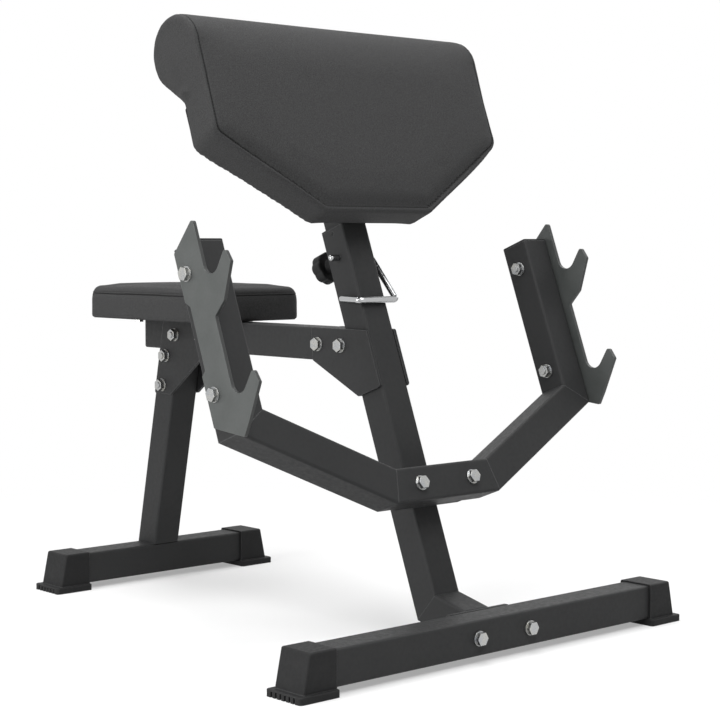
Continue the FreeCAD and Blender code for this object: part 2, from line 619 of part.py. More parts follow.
FRONT_LOW = "(seat_beam_top - front_gusset_drop)"
FRONT_HEEL = "(%s - tube * sin(lean))" % FRONT_LOW
FRONT_REACH = "(front_gusset_bolt + front_gusset_pitch + front_gusset_edge)"
REAR_LOW = "(%s - rear_gusset_toe)" % POST_BOLT_2
REAR_REACH = "(rear_gusset_bolt + rear_gusset_edge)"
BEAM_UNDER = "(seat_beam_top - tube)"
FRONT_OUTLINE = [
    ("%s + %s * tan(lean)" % (COLUMN_FACE, FRONT_LOW), FRONT_LOW),
    ("%s + %s * tan(lean)" % (COLUMN_BACK, FRONT_HEEL), FRONT_HEEL),
    ("%s + %s - 4" % (SEAT_BEAM_Y, FRONT_REACH), BEAM_UNDER),
    ("%s + %s" % (SEAT_BEAM_Y, FRONT_REACH), "seat_beam_top"),
    ("%s + seat_beam_top * tan(lean)" % COLUMN_FACE, "seat_beam_top"),
]
REAR_OUTLINE = [
    ("%s - %s" % (POST_TOP_FACE, REAR_REACH), BEAM_UNDER),
    ("%s - (%s - %s) * tan(post_lean)" % (POST_FACE, REAR_LOW, BEAM_TOP), REAR_LOW),
    ("%s - (%s - %s) * tan(post_lean) - rear_gusset_inset" % (POST_BACK, REAR_LOW, BEAM_TOP), REAR_LOW),
    ("%s - (seat_beam_top - %s) * tan(post_lean) - rear_gusset_inset" % (POST_BACK, BEAM_TOP),
     "seat_beam_top"),
    ("%s - %s" % (POST_TOP_FACE, REAR_REACH), "seat_beam_top"),
]
FRONT_SPOTS = [(y, SEAT_BEAM_Z) for y in FRONT_BOLTS]
REAR_SPOTS = [(y, SEAT_BEAM_Z) for y in REAR_BOLTS] + [(post_axis(z), z) for z in (POST_BOLT_1, POST_BOLT_2)]


def gusset_plate(label, corners, spots, hand):
    made = body(label)
    sketch = draw(made, "YZ", "tube / 2" if hand == "right" else "-tube / 2")
    outline(sketch, corners)
    for y, z in spots:
        circle(sketch, y, z, "bolt_hole")
    flat = pad(made, sketch, "gusset", back=hand == "left")
    rounded = [(value(y), value(z)) for y, z in corners]
    fillet(made, flat, "4", lambda edge: straight(edge, "x") and
           any(near(edge, y=y, z=z) for y, z in rounded))


for hand in ("left", "right"):
    gusset_plate("front_gusset_" + hand, FRONT_OUTLINE, FRONT_SPOTS, hand)
    gusset_plate("rear_gusset_" + hand, REAR_OUTLINE, REAR_SPOTS, hand)
bolted("front_gusset", [shift("-tube / 2 - gusset", y, z) + " * " + turn("y", "90")
                        for y, z in FRONT_SPOTS], "(tube + 2 * gusset)")
bolted("rear_gusset", [shift("tube / 2 + gusset", y, z) + " * " + turn("y", "-90")
                       for y, z in REAR_SPOTS], "(tube + 2 * gusset)")


# Bar yoke: mitred square tube bolted to a flange on the column, with a hook plate outside each upright.

YOKE_Y = "(-tube - yoke_flange_thickness)"
YOKE_MITRE = "tan(yoke_angle / 2)"
TOP_MITRE = "tan((90 - yoke_angle) / 2)"
CROSS_HALF = "(yoke_cross_width / 2 + tube / 2 * %s)" % YOKE_MITRE
UPRIGHT_X = "(yoke_clear_width / 2 + tube / 2)"
UPRIGHT_CORNER = "(yoke_up + tube / 2 + (yoke_clear_width - yoke_cross_width) / 2 * tan(yoke_angle))"
UPRIGHT_FOOT = "(%s - tube / 2 * %s)" % (UPRIGHT_CORNER, TOP_MITRE)
HOOK_UP = "(%s + hook_bolt_rise)" % UPRIGHT_CORNER
UPRIGHT_TOP = "(%s + hook_bolt_spacing + upright_spare)" % HOOK_UP

yoke_flange = body("yoke_flange")
plate = draw(yoke_flange, "XZ", "tube / 2")
half = "(yoke_bolt_spacing / 2 + yoke_flange_edge)"
rounded_rectangle(plate, "-" + half, half, "-tube / 2", "tube / 2", "6")
for x in ("-yoke_bolt_spacing / 2", "yoke_bolt_spacing / 2"):
    circle(plate, x, "0", "bolt_hole")
pad(yoke_flange, plate, "yoke_flange_thickness")
place(yoke_flange, LEANING, shift("0", "0", "yoke_up"))

cross = frame_tube("yoke_cross_tube", "(2 * %s)" % CROSS_HALF, "-" + YOKE_MITRE, YOKE_MITRE, "XZ")
drill(cross, "XZ", [("0", "%s - yoke_bolt_spacing / 2" % CROSS_HALF),
                    ("0", "%s + yoke_bolt_spacing / 2" % CROSS_HALF)], "bolt_hole")
place(cross, LEANING, shift("-" + CROSS_HALF, YOKE_Y, "yoke_up"), turn("y", "90"))
bolted("yoke", [LEANING + " * " + shift(x, YOKE_Y + " - tube / 2", "yoke_up") + " * " + turn("x", "-90")
                for x in ("-yoke_bolt_spacing / 2", "yoke_bolt_spacing / 2")],
       "(tube + yoke_flange_thickness)")

HOOK_FRONT = "(-hook_front)"
HOOK_BACK = "hook_back"
HOOK_EDGES = []
for root in ("-hook_low", "(hook_pitch - hook_low)"):
    HOOK_EDGES.append([
        (HOOK_FRONT, root),
        ("%s - hook_reach" % HOOK_FRONT, "%s + hook_rise" % root),
        ("%s - hook_reach - hook_nose" % HOOK_FRONT, "%s + hook_rise - hook_nose_drop" % root),
        ("%s - hook_reach / 2" % HOOK_FRONT, "%s - hook_under" % root),
    ])
HOOK_TOP = "(hook_pitch - hook_low + hook_tip)"
HOOK_OUTLINE = (
    [(HOOK_BACK, HOOK_TOP + " - 31.4"), (HOOK_FRONT, HOOK_TOP)]
    + HOOK_EDGES[1] + [(HOOK_FRONT, "hook_pitch - hook_low - hook_under - 13.5")]
    + HOOK_EDGES[0][:3]
    + [("%s - 18" % HOOK_FRONT, "-hook_low - hook_under"),
       ("%s - 2.5" % HOOK_FRONT, "-hook_low - hook_under - 15"),
       (HOOK_BACK, "-hook_low - hook_under + 14"),
       (HOOK_BACK, "31"), ("hook_back - hook_waist", "31 + hook_waist / 2"),
       ("hook_back - hook_waist", "135 - hook_waist"), (HOOK_BACK, "135")])

for hand, sign in (("left", "-"), ("right", "")):
    flip = "-1 * " if hand == "left" else ""
    diagonal = frame_tube("yoke_diagonal_" + hand, "((%s - %s) / cos(yoke_angle))" % (UPRIGHT_X, CROSS_HALF),
                          flip + "(-%s)" % YOKE_MITRE, flip + TOP_MITRE, "XZ")
    place(diagonal, LEANING, shift(sign + CROSS_HALF, YOKE_Y, "yoke_up"),
          turn("y", sign + "(90 - yoke_angle)"))
    upright = frame_tube("yoke_upright_" + hand, "(%s - %s)" % (UPRIGHT_TOP, UPRIGHT_FOOT),
                         flip + "(-%s)" % TOP_MITRE, "0", "XZ")
    drill(upright, "YZ", [("0", "%s - %s" % (HOOK_UP, UPRIGHT_FOOT)),
                          ("0", "%s + hook_bolt_spacing - %s" % (HOOK_UP, UPRIGHT_FOOT))], "bolt_hole")
    place(upright, LEANING, shift(sign + UPRIGHT_X, YOKE_Y, UPRIGHT_FOOT))
    plug("yoke_plug_" + hand, LEANING, shift(sign + UPRIGHT_X, YOKE_Y, UPRIGHT_TOP))
    hook = body("hook_plate_" + hand)
    sketch = draw(hook, "YZ", sign + "(%s + tube / 2)" % UPRIGHT_X)
    outline(sketch, HOOK_OUTLINE)
    for z in ("0", "hook_bolt_spacing"):
        circle(sketch, "0", z, "bolt_hole")
    flat = pad(hook, sketch, "hook_plate", back=hand == "left")
    roots = [(value(edge[0][0]), value(edge[0][1])) for edge in HOOK_EDGES]
    tips = [(value(y), value(z)) for y, z in [HOOK_OUTLINE[1]] + [edge[1] for edge in HOOK_EDGES]]
    others = [(value(y), value(z)) for y, z in HOOK_OUTLINE]
    seats = fillet(hook, flat, "hook_seat_radius", lambda edge: straight(edge, "x") and
                   any(near(edge, y=y, z=z) for y, z in roots))
    blunt = fillet(hook, seats, "4.5", lambda edge: straight(edge, "x") and
                   any(near(edge, y=y, z=z) for y, z in tips))
    fillet(hook, blunt, "2.5", lambda edge: straight(edge, "x") and
           any(near(edge, y=y, z=z) for y, z in others))
    place(hook, LEANING, shift("0", YOKE_Y, HOOK_UP))

HOOK_SPOTS = []
for sign, facing in (("-", "90"), ("", "-90")):
    for up in ("0", "hook_bolt_spacing"):
        HOOK_SPOTS.append(" * ".join([
            LEANING,
            shift(sign + "(%s + tube / 2 + hook_plate)" % UPRIGHT_X, YOKE_Y, "%s + %s" % (HOOK_UP, up)),
            turn("y", facing)]))
bolted("hook_plate", HOOK_SPOTS, "(tube + hook_plate)")


# Seat: a bracket plate welded to the seat beam, a plywood board screwed to it and the cushion over both.

SEAT_Y = "(seat_rear - seat_length / 2)"
SEAT_Z = "(seat_beam_top + seat_plate)"

bracket = body("seat_bracket")
plate = draw(bracket, "XY")
rounded_rectangle(plate, "-seat_plate_width / 2", "seat_plate_width / 2", "-seat_plate_length / 2",
                  "seat_plate_length / 2", "8")
SEAT_SCREWS = [(sx + "seat_plate_width * 0.39", sy + "seat_plate_length * 0.38")
               for sx in ("", "-") for sy in ("", "-")]
for x, y in SEAT_SCREWS:
    circle(plate, x, y, "screw_diameter + 1")
pad(bracket, plate, "seat_plate")
place(bracket, shift("0", SEAT_Y, "seat_beam_top"))

board = body("seat_board")
sheet_board = draw(board, "XY")
rounded_rectangle(sheet_board, "-seat_width / 2 + board_inset", "seat_width / 2 - board_inset",
                  "-seat_length / 2 + board_inset", "seat_length / 2 - board_inset", "seat_corner - 3")
for x, y in SEAT_SCREWS:
    circle(sheet_board, x, y, "screw_diameter + 0.1")
pad(board, sheet_board, "seat_board")
place(board, shift("0", SEAT_Y, SEAT_Z))
screws("seat_screws", [shift(x, "%s + %s" % (SEAT_Y, y), "seat_beam_top") for x, y in SEAT_SCREWS],
       "(seat_plate + seat_board - 1)")

seat = body("seat_pad")
plan = draw(seat, "XY")
outline(plan, [("-seat_width / 2", "-seat_length / 2"), ("seat_width / 2", "-seat_length / 2"),
               ("seat_width / 2", "seat_length / 2"), ("-seat_width / 2", "seat_length / 2")],
        {k: "-seat_draw" for k in range(4)})
block = pad(seat, plan, "seat_height")
corners = fillet(seat, block, "seat_corner", lambda edge: straight(edge, "z"))
crown = draw(seat, "XZ")
CROWN_DROP = "(seat_crown_radius - sqrt(seat_crown_radius^2 - seat_length^2))"
CROWN_BOW = "(seat_crown_radius - sqrt(seat_crown_radius^2 - (seat_length^2 + %s^2) / 4))" % CROWN_DROP
outline(crown, [("0", "seat_height"), ("seat_length", "seat_height - " + CROWN_DROP),
                ("seat_length", "2 * seat_height"), ("0", "2 * seat_height")], {0: "-" + CROWN_BOW})
dome = seat.newObject("PartDesign::Groove", "seat_pad_crown")
dome.Profile = crown
dome.ReferenceAxis = (crown, ["V_Axis"])
dome.Angle = 360
sides_top = value("seat_height") - value("seat_length^2 / 4 / seat_crown_radius") - 10
fillet(seat, dome, "seat_round", lambda edge: all(end.Point.z > sides_top for end in edge.Vertexes)
       and edge.BoundBox.ZMin > sides_top)
under = draw(seat, "XY")
half_wide = "(seat_width / 2 - board_inset + board_play)"
half_long = "(seat_length / 2 - board_inset + board_play)"
rounded_rectangle(under, "-" + half_wide, half_wide, "-" + half_long, half_long,
                  "seat_corner - 3 + board_play")
pocket(seat, under, "seat_board", back=True)
place(seat, shift("0", SEAT_Y, SEAT_Z))


# Pad carriage: the inner post slides in the column and carries the arm pad on two cross bars.

POST_LOW = "(column_top - inner_overlap)"
POST_LENGTH = "(inner_overlap + inner_reach)"
PIN_UP = "(column_top - pin_drop)"
PAD_BACK = "(inner_tube / 2 + bar_depth)"
PAD_LOW = "(column_top - pad_low)"

inner = tube("inner_post", "inner_tube", "inner_tube", "wall", "inner_corner", POST_LENGTH, "0", "0")
track = draw(inner, "YZ")
SLOT_WIDE = "(pin_diameter / 2 + slot_play)"
SLOT_TOP = "(%s - %s + %s)" % (PIN_UP, POST_LOW, SLOT_WIDE)
rounded_rectangle(track, "-" + SLOT_WIDE, SLOT_WIDE, "%s - pad_travel - 2 * %s" % (SLOT_TOP, SLOT_WIDE),
                  SLOT_TOP, SLOT_WIDE + " - 0.01")
pocket(inner, track, "2 * inner_tube", both=True)
place(inner, LEANING, shift("0", "0", POST_LOW))

cap = body("inner_post_cap")
rim = draw(cap, "XY")
rounded_rectangle(rim, "-inner_tube / 2", "inner_tube / 2", "-inner_tube / 2", "inner_tube / 2",
                  "inner_corner")
pad(cap, rim, "plug_rim")
neck = draw(cap, "XY")
inside = "(inner_tube / 2 - wall - 0.2)"
rectangle(neck, "-" + inside, inside, "-" + inside, inside)
whole = pad(cap, neck, "plug_depth", back=True)
fillet(cap, whole, "2", lambda edge: straight(edge, "z") and edge.BoundBox.ZMin < -1)
place(cap, LEANING, shift("0", "0", "column_top + inner_reach"))

shoe = body("inner_post_shoe")
sole = draw(shoe, "XY")
shoe_out = "(tube / 2 - wall - 0.3)"
rounded_rectangle(sole, "-" + shoe_out, shoe_out, "-" + shoe_out, shoe_out, "max(corner - wall; 0.5)")
pad(shoe, sole, "shoe_height / 2", back=True)
neck = draw(shoe, "XY")
rectangle(neck, "-" + inside, inside, "-" + inside, inside)
whole = pad(shoe, neck, "plug_depth")
fillet(shoe, whole, "2", lambda edge: straight(edge, "z") and edge.BoundBox.ZMax > 1)
place(shoe, LEANING, shift("0", "0", POST_LOW))

BAR_UPS = ["(column_top + bar_low)", "(column_top + bar_low + bar_pitch)"]
for label, up in zip(("pad_bar_lower", "pad_bar_upper"), BAR_UPS):
    bar = tube(label, "bar_height", "bar_depth", "1.5", "2", "bar_length", "0", "0", "XZ")
    drill(bar, "XZ", [("0", "bar_length / 2 - bar_screws / 2"), ("0", "bar_length / 2 + bar_screws / 2")],
          "screw_diameter + 1")
    place(bar, LEANING, shift("-bar_length / 2", "-inner_tube / 2 - bar_depth / 2", up), turn("y", "90"))

BAR_PLUGS = []
for up in BAR_UPS:
    for sign in ("", "-"):
        stopper = doc.addObject("Part::Box", "pad_bar_stopper")
        bind(stopper, "Length", "bar_height - 3.4")
        bind(stopper, "Width", "bar_depth - 3.4")
        bind(stopper, "Height", "8")
        place(stopper, LEANING, shift(sign + "bar_length / 2", "-inner_tube / 2 - bar_depth / 2", up),
              turn("y", sign + "90"), shift("-bar_height / 2 + 1.7", "-bar_depth / 2 + 1.7", "-8"))
        BAR_PLUGS.append(stopper)
group("pad_bar_plugs", BAR_PLUGS)

PAD_SCREWS = [(x, up) for x in ("-bar_screws / 2", "bar_screws / 2") for up in BAR_UPS]
screws("pad_screws", [" * ".join([LEANING, shift(x, "-inner_tube / 2", up), turn("x", "90")])
                      for x, up in PAD_SCREWS], "(bar_depth + pad_board - 1)")


def pad_plan(inset, top):
    """Half-hexagon outline of the arm pad, drawn in by an inset all round."""
    slope = "((pad_width - pad_foot_width) / 2 / pad_corner_rise)"
    ease = "(%s * (sqrt(1 + %s^2) - %s))" % (inset, slope, slope)
    rise = "(pad_corner_rise + %s * (sqrt(1 + 1 / %s^2) - 1 / %s))" % (inset, slope, slope)
    foot = "(pad_foot_width / 2 - %s)" % ease
    side = "(pad_width / 2 - %s)" % inset
    return [("-" + foot, inset), (foot, inset), (side, rise), (side, top), ("-" + side, top),
            ("-" + side, rise)]


pad_sheet = body("pad_board")
flat = draw(pad_sheet, "XZ", PAD_BACK)
outline(flat, pad_plan("board_inset", "pad_neck - 6"))
for x, up in PAD_SCREWS:
    circle(flat, x, "%s - %s" % (up, PAD_LOW), "screw_diameter + 0.1")
pad(pad_sheet, flat, "pad_board")
place(pad_sheet, LEANING, shift("0", "0", PAD_LOW))

arm_pad = body("arm_pad")
profile = draw(arm_pad, "YZ")
FACE = "(%s + pad_thickness)" % PAD_BACK
ROLL_Y = "(%s - pad_roll + pad_swell)" % FACE
ROLL_Z = "(pad_height - pad_roll)"
roll = FreeCAD.Vector(-value(ROLL_Y), value(ROLL_Z), 0)
radius, bulge = value("pad_roll"), value("pad_crown_radius")
foot = FreeCAD.Vector(-value(FACE), 0, 0)
heel = FreeCAD.Vector(-value(PAD_BACK), 0, 0)
neck = FreeCAD.Vector(-value(PAD_BACK), value("pad_neck"), 0)
# the crown's centre lies behind the pad, where it passes the foot and touches the roll from outside
span = (roll - foot).Length
along = (bulge ** 2 - (bulge - radius) ** 2 + span ** 2) / (2 * span)
unit = (roll - foot) * (1 / span)
centre = foot + unit * along + FreeCAD.Vector(unit.y, -unit.x, 0) * math.sqrt(bulge ** 2 - along ** 2)
touch = roll + (roll - centre).normalize() * radius
reach = roll - neck
swing = math.acos(radius / reach.Length)
back = math.atan2(-reach.y, -reach.x) + swing
leave = roll + FreeCAD.Vector(math.cos(back), math.sin(back), 0) * radius
start_angle = math.atan2(touch.y - centre.y, touch.x - centre.x)
end_angle = math.atan2(foot.y - centre.y, foot.x - centre.x)
front_arc = Part.ArcOfCircle(Part.Circle(centre, FreeCAD.Vector(0, 0, 1), bulge), start_angle, end_angle)
top_arc = Part.ArcOfCircle(Part.Circle(roll, FreeCAD.Vector(0, 0, 1), radius), back,
                           math.atan2(touch.y - roll.y, touch.x - roll.x))
shapes = [Part.LineSegment(foot, heel), Part.LineSegment(heel, neck), Part.LineSegment(neck, leave),
          top_arc, front_arc]
for shape in shapes:
    profile.addGeometry(shape)
for first, second in ((0, 1), (1, 2)):
    profile.addConstraint(Sketcher.Constraint("Coincident", first, 2, second, 1))
profile.addConstraint(Sketcher.Constraint("Tangent", 2, 2, 3, 1))
profile.addConstraint(Sketcher.Constraint("Tangent", 3, 2, 4, 1))
profile.addConstraint(Sketcher.Constraint("Coincident", 4, 2, 0, 1))
pin_down(profile, 0, 1, "-" + FACE, "0")
pin_down(profile, 1, 1, "-" + PAD_BACK, "0")
pin_down(profile, 2, 1, "-" + PAD_BACK, "pad_neck")
pin_down(profile, 3, 3, "-" + ROLL_Y, ROLL_Z)
rule(profile, "pad_roll", "Radius", 3)
rule(profile, "pad_crown_radius", "Radius", 4)
pad(arm_pad, profile, "pad_width + 40", both=True)
trim = draw(arm_pad, "XZ")
rectangle(trim, "-pad_width", "pad_width", "-pad_height", "2 * pad_height")
outline(trim, pad_plan("0", "pad_height + 20"), {2: "-pad_draw", 4: "-pad_draw"})
cut_out = pocket(arm_pad, trim, "8 * pad_roll + 4 * pad_thickness", both=True)
corners = fillet(arm_pad, cut_out, "pad_corner", lambda edge: straight(edge, "y"))
back_plane = -value(PAD_BACK)
bottom_face = -value(FACE)
doc.recompute()


def front_edge(edge):
    """Edges round the front of the pad and round the ends of the roll."""
    if near(edge, y=back_plane) or straight(edge, "y"):
        return False
    if straight(edge, "x"):
        return near(edge, y=bottom_face, z=0)
    return edge.BoundBox.YMin < back_plane - 1 or edge.BoundBox.ZMin > value("pad_neck") - 1


fillet(arm_pad, corners, "pad_round", front_edge)
recess = draw(arm_pad, "XZ", PAD_BACK)
outline(recess, pad_plan("(board_inset - board_play)", "pad_neck - 6 + board_play"))
pocket(arm_pad, recess, "pad_board", back=True)
place(arm_pad, LEANING, shift("0", "0", PAD_LOW))


# Lock pin: one bent rod, its plain end through the column and its handle hooked round the front.

def bent_rod(points, bend, diameter):
    """Round rod through the points, each corner bent to one radius."""
    edges = []
    last = points[0]
    for k in range(1, len(points) - 1):
        into = (points[k] - points[k - 1]).normalize()
        out = (points[k + 1] - points[k]).normalize()
        angle = into.getAngle(out)
        setback = bend * math.tan(angle / 2)
        first = points[k] - into * setback
        second = points[k] + out * setback
        inward = (out - into).normalize()
        middle = points[k] + inward * (bend / math.cos(angle / 2) - bend)
        edges.append(Part.makeLine(last, first))
        edges.append(Part.Arc(first, middle, second).toShape())
        last = second
    edges.append(Part.makeLine(last, points[-1]))
    ring = Part.Wire(Part.makeCircle(diameter / 2, points[0], points[1] - points[0]))
    rod = Part.Wire(edges).makePipeShell([ring], True, False)
    ends = [edge for edge in rod.Edges if isinstance(edge.Curve, Part.Circle) and
            min((edge.Curve.Center - points[0]).Length, (edge.Curve.Center - points[-1]).Length) < 0.01]
    return rod.makeFillet(diameter * 0.42, ends)


side = value("tube / 2 + pin_gap + pin_diameter / 2")
far = value("tube / 2 + pin_far")
front = side
lock_pin = node(doc.addObject("Part::Feature", "lock_pin"), "lock_pin")
lock_pin.Shape = bent_rod([
    FreeCAD.Vector(-value("tube / 2 + pin_tip"), 0, 0),
    FreeCAD.Vector(far, 0, 0),
    FreeCAD.Vector(far, -front, -value("pin_arm")),
    FreeCAD.Vector(-side, -front, -value("pin_arm")),
    FreeCAD.Vector(-side, value("pin_tail_back") - front, value("pin_tail_rise - pin_arm")),
], value("pin_bend"), value("pin_diameter"))
place(lock_pin, LEANING, shift("0", "0", PIN_UP))


# Clamp: a star knob on a threaded stud that presses a thrust pad against the inner post.

CLAMP = " * ".join([LEANING, shift("0", "tube / 2", "column_top - knob_drop"), turn("x", "-90")])
STUD_NOSE = "1.5"
THRUST_FACE = "(inner_tube / 2 + thrust_gap - tube / 2)"

boss = node(joined("Cut", cylinder("boss_blank", "boss_diameter", "boss_height"),
                   cylinder("boss_thread", "stud_diameter + 2 * stud_play", "boss_height")), "clamp_boss")
place(boss, CLAMP)

thrust = node(cylinder("clamp_thrust_pad", "thrust_diameter", "%s - %s" % (STUD_NOSE, THRUST_FACE)),
              "clamp_thrust_pad")
place(thrust, CLAMP, shift("0", "0", THRUST_FACE))

stud = node(cylinder("clamp_stud", "stud_diameter",
                     "boss_height + 0.5 + knob_hub_length + knob_height / 2 - " + STUD_NOSE), "clamp_stud")
place(stud, CLAMP, shift("0", "0", STUD_NOSE))

knob = body("clamp_knob")
hub = draw(knob, "XY")
circle(hub, "0", "0", "knob_hub")
pad(knob, hub, "knob_hub_length + 1")
core = draw(knob, "XY", "knob_hub_length")
circle(core, "0", "0", "knob_core")
pad(knob, core, "knob_height")
lobe = draw(knob, "XY", "knob_hub_length")
circle(lobe, "knob_lobe_circle / 2", "0", "knob_lobe")
lobe_pad = pad(knob, lobe, "knob_height")
lobes = knob.newObject("PartDesign::PolarPattern", "clamp_knob_lobes")
lobes.Originals = [lobe_pad]
lobes.Axis = (lobe, ["N_Axis"])
lobes.Angle = 360
bind(lobes, "Occurrences", "knob_lobes")
knob.Tip = lobes
knob_top = value("knob_hub_length + knob_height")
knob_low = value("knob_hub_length")
knob_inside = value("knob_core / 2")
hollows = fillet(knob, lobes, "knob_hollow", lambda edge: straight(edge, "z") and
                 edge.CenterOfMass.z > knob_low and math.hypot(*edge.CenterOfMass[:2]) > knob_inside)
fillet(knob, hollows, "2.5", lambda edge: near(edge, z=knob_top) or
       (near(edge, z=knob_low) and edge.BoundBox.DiagonalLength < value("knob_hub")))
bore = draw(knob, "XY")
circle(bore, "0", "0", "stud_diameter + 0.04")
pocket(knob, bore, "knob_hub_length + knob_height / 2", back=True)
place(knob, CLAMP, shift("0", "0", "boss_height + 0.5"))


# Check every object, then write each piece as its own file.

doc.recompute()
faults = []
for thing in doc.Objects:
    if "Invalid" in thing.State or "Error" in thing.State:
        faults.append(thing.Label + " did not compute")
    elif hasattr(thing, "Shape") and thing.isDerivedFrom("PartDesign::Feature"):
        if thing.isDerivedFrom("PartDesign::Pocket") or thing.isDerivedFrom("PartDesign::Groove"):
            if thing.Shape.Volume > thing.BaseFeature.Shape.Volume - 1e-3:
                faults.append(thing.Label + " cut nothing")
for thing in NODES:
    if thing.Shape.isNull() or not thing.Shape.isValid() or thing.Shape.Volume < 1:
        faults.append(thing.Label + " has no sound shape")
if faults:
    raise RuntimeError("; ".join(faults))
os.makedirs("parts", exist_ok=True)
for thing in NODES:
    thing.Shape.exportStep("parts/%s.step" % thing.Label)
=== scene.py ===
import json
import math

import bmesh
import bpy
import numpy as np
from mathutils import Matrix, Vector
from mathutils.bvhtree import BVHTree
from mathutils.kdtree import KDTree


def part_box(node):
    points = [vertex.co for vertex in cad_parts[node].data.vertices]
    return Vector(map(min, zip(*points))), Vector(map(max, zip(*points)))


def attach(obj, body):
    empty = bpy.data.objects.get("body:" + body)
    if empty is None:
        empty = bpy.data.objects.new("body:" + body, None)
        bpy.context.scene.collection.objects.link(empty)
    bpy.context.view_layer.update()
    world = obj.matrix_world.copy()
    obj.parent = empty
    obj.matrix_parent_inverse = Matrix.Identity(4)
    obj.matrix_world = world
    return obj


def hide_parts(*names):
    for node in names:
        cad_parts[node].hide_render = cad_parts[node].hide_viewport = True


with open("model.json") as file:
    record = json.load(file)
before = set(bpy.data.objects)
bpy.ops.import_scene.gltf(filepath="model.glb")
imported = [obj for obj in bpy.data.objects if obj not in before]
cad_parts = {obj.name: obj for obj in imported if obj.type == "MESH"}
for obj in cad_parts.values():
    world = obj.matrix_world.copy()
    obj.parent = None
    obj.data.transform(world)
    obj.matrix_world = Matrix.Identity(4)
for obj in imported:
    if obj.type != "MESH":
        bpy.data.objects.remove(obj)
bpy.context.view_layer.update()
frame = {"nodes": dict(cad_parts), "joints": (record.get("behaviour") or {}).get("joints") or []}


# Foot beams and the frame's other tubes: 50 mm square steel tube, cut, welded and sprayed with a
# fine-textured black powder coat. Its edges are painted lighter: a painted highlight, which in part also
# stands for thinner powder there.

def finish(name, colour, roughness, metallic=0.0, gloss=0.5):
    """A new material, its node tree, its shader, and the object's own coordinates in metres."""
    material = bpy.data.materials.new(name)
    material.use_nodes = True
    tree = material.node_tree
    shader = tree.nodes["Principled BSDF"]
    shader.inputs["Base Color"].default_value = (*colour, 1)
    shader.inputs["Roughness"].default_value = roughness
    shader.inputs["Metallic"].default_value = metallic
    shader.inputs["Specular IOR Level"].default_value = gloss
    place = tree.nodes.new("ShaderNodeTexCoord")
    return material, tree, shader, place


def speckle(tree, place, scale, detail=2.0, stretch=None):
    """Cloudy noise of that many cells to a metre, which can be stretched along an axis."""
    noise = tree.nodes.new("ShaderNodeTexNoise")
    noise.inputs["Scale"].default_value = scale
    noise.inputs["Detail"].default_value = detail
    source = place.outputs["Object"]
    if stretch:
        mapping = tree.nodes.new("ShaderNodeMapping")
        mapping.inputs["Scale"].default_value = stretch
        tree.links.new(source, mapping.inputs["Vector"])
        source = mapping.outputs["Vector"]
    tree.links.new(source, noise.inputs["Vector"])
    return noise.outputs["Fac"]


def between(tree, value, low, high, start=0.3, stop=0.7):
    """The value spread from start..stop over low..high."""
    spread = tree.nodes.new("ShaderNodeMapRange")
    for socket, number in zip(("From Min", "From Max", "To Min", "To Max"), (start, stop, low, high)):
        spread.inputs[socket].default_value = number
    tree.links.new(value, spread.inputs["Value"])
    return spread.outputs["Result"]


def blended(tree, share, first, second):
    """A colour between two: each is a colour or the output of another node."""
    mix = tree.nodes.new("ShaderNodeMix")
    mix.data_type = "RGBA"
    tree.links.new(share, mix.inputs[0])
    for socket, colour in ((mix.inputs[6], first), (mix.inputs[7], second)):
        if isinstance(colour, tuple):
            socket.default_value = (*colour, 1)
        else:
            tree.links.new(colour, socket)
    return mix.outputs[2]


def raised(tree, height, depth, strength, under=None):
    """A bumped normal, over another normal where there is one."""
    bump = tree.nodes.new("ShaderNodeBump")
    bump.inputs["Strength"].default_value = strength
    bump.inputs["Distance"].default_value = depth
    tree.links.new(height, bump.inputs["Height"])
    if under:
        tree.links.new(under, bump.inputs["Normal"])
    return bump.outputs["Normal"]


def edges(tree, radius):
    """How near a point is to an edge, from 0 on the flat to 1, and the normal rounded over that edge."""
    rounded = tree.nodes.new("ShaderNodeBevel")
    rounded.samples = 4
    rounded.inputs["Radius"].default_value = radius
    flat = tree.nodes.new("ShaderNodeNewGeometry")
    turned = tree.nodes.new("ShaderNodeVectorMath")
    turned.operation = "DOT_PRODUCT"
    tree.links.new(rounded.outputs["Normal"], turned.inputs[0])
    tree.links.new(flat.outputs["Normal"], turned.inputs[1])
    return between(tree, turned.outputs["Value"], 1.0, 0.0, 0.72, 0.99), rounded.outputs["Normal"]


def dress(material, *names):
    """Puts a material on CAD nodes, in the place of their plain one."""
    for name in names:
        slots = frame["nodes"][name].data.materials
        slots.clear()
        slots.append(material)


def powder_coat():
    colour, wear_and_edge_highlight = (0.0208, 0.0211, 0.0215), (0.088, 0.089, 0.091)
    material, tree, shader, place = finish("black_powder_coat", colour, 0.46, gloss=0.16)
    edge, rounded = edges(tree, 0.0022)
    cloud = between(tree, speckle(tree, place, 9, 4), 0.0, 0.35)
    base = blended(tree, cloud, colour, (0.0290, 0.0293, 0.0295))
    # Lighter along the edges: a painted highlight, in part also thinner powder.
    tree.links.new(blended(tree, edge, base, wear_and_edge_highlight), shader.inputs["Base Color"])
    tree.links.new(between(tree, speckle(tree, place, 160), 0.48, 0.62), shader.inputs["Roughness"])
    grit = raised(tree, speckle(tree, place, 1300, 3), 0.00022, 0.55, rounded)
    tree.links.new(grit, shader.inputs["Normal"])
    return material


coat = powder_coat()
dress(coat, "front_foot_beam", "rear_foot_beam")


# Foot caps: black polypropylene shoes pushed over the ends of the foot beams, moulded with ribbed
# toes. The plugs in the other tube ends are the same plastic.

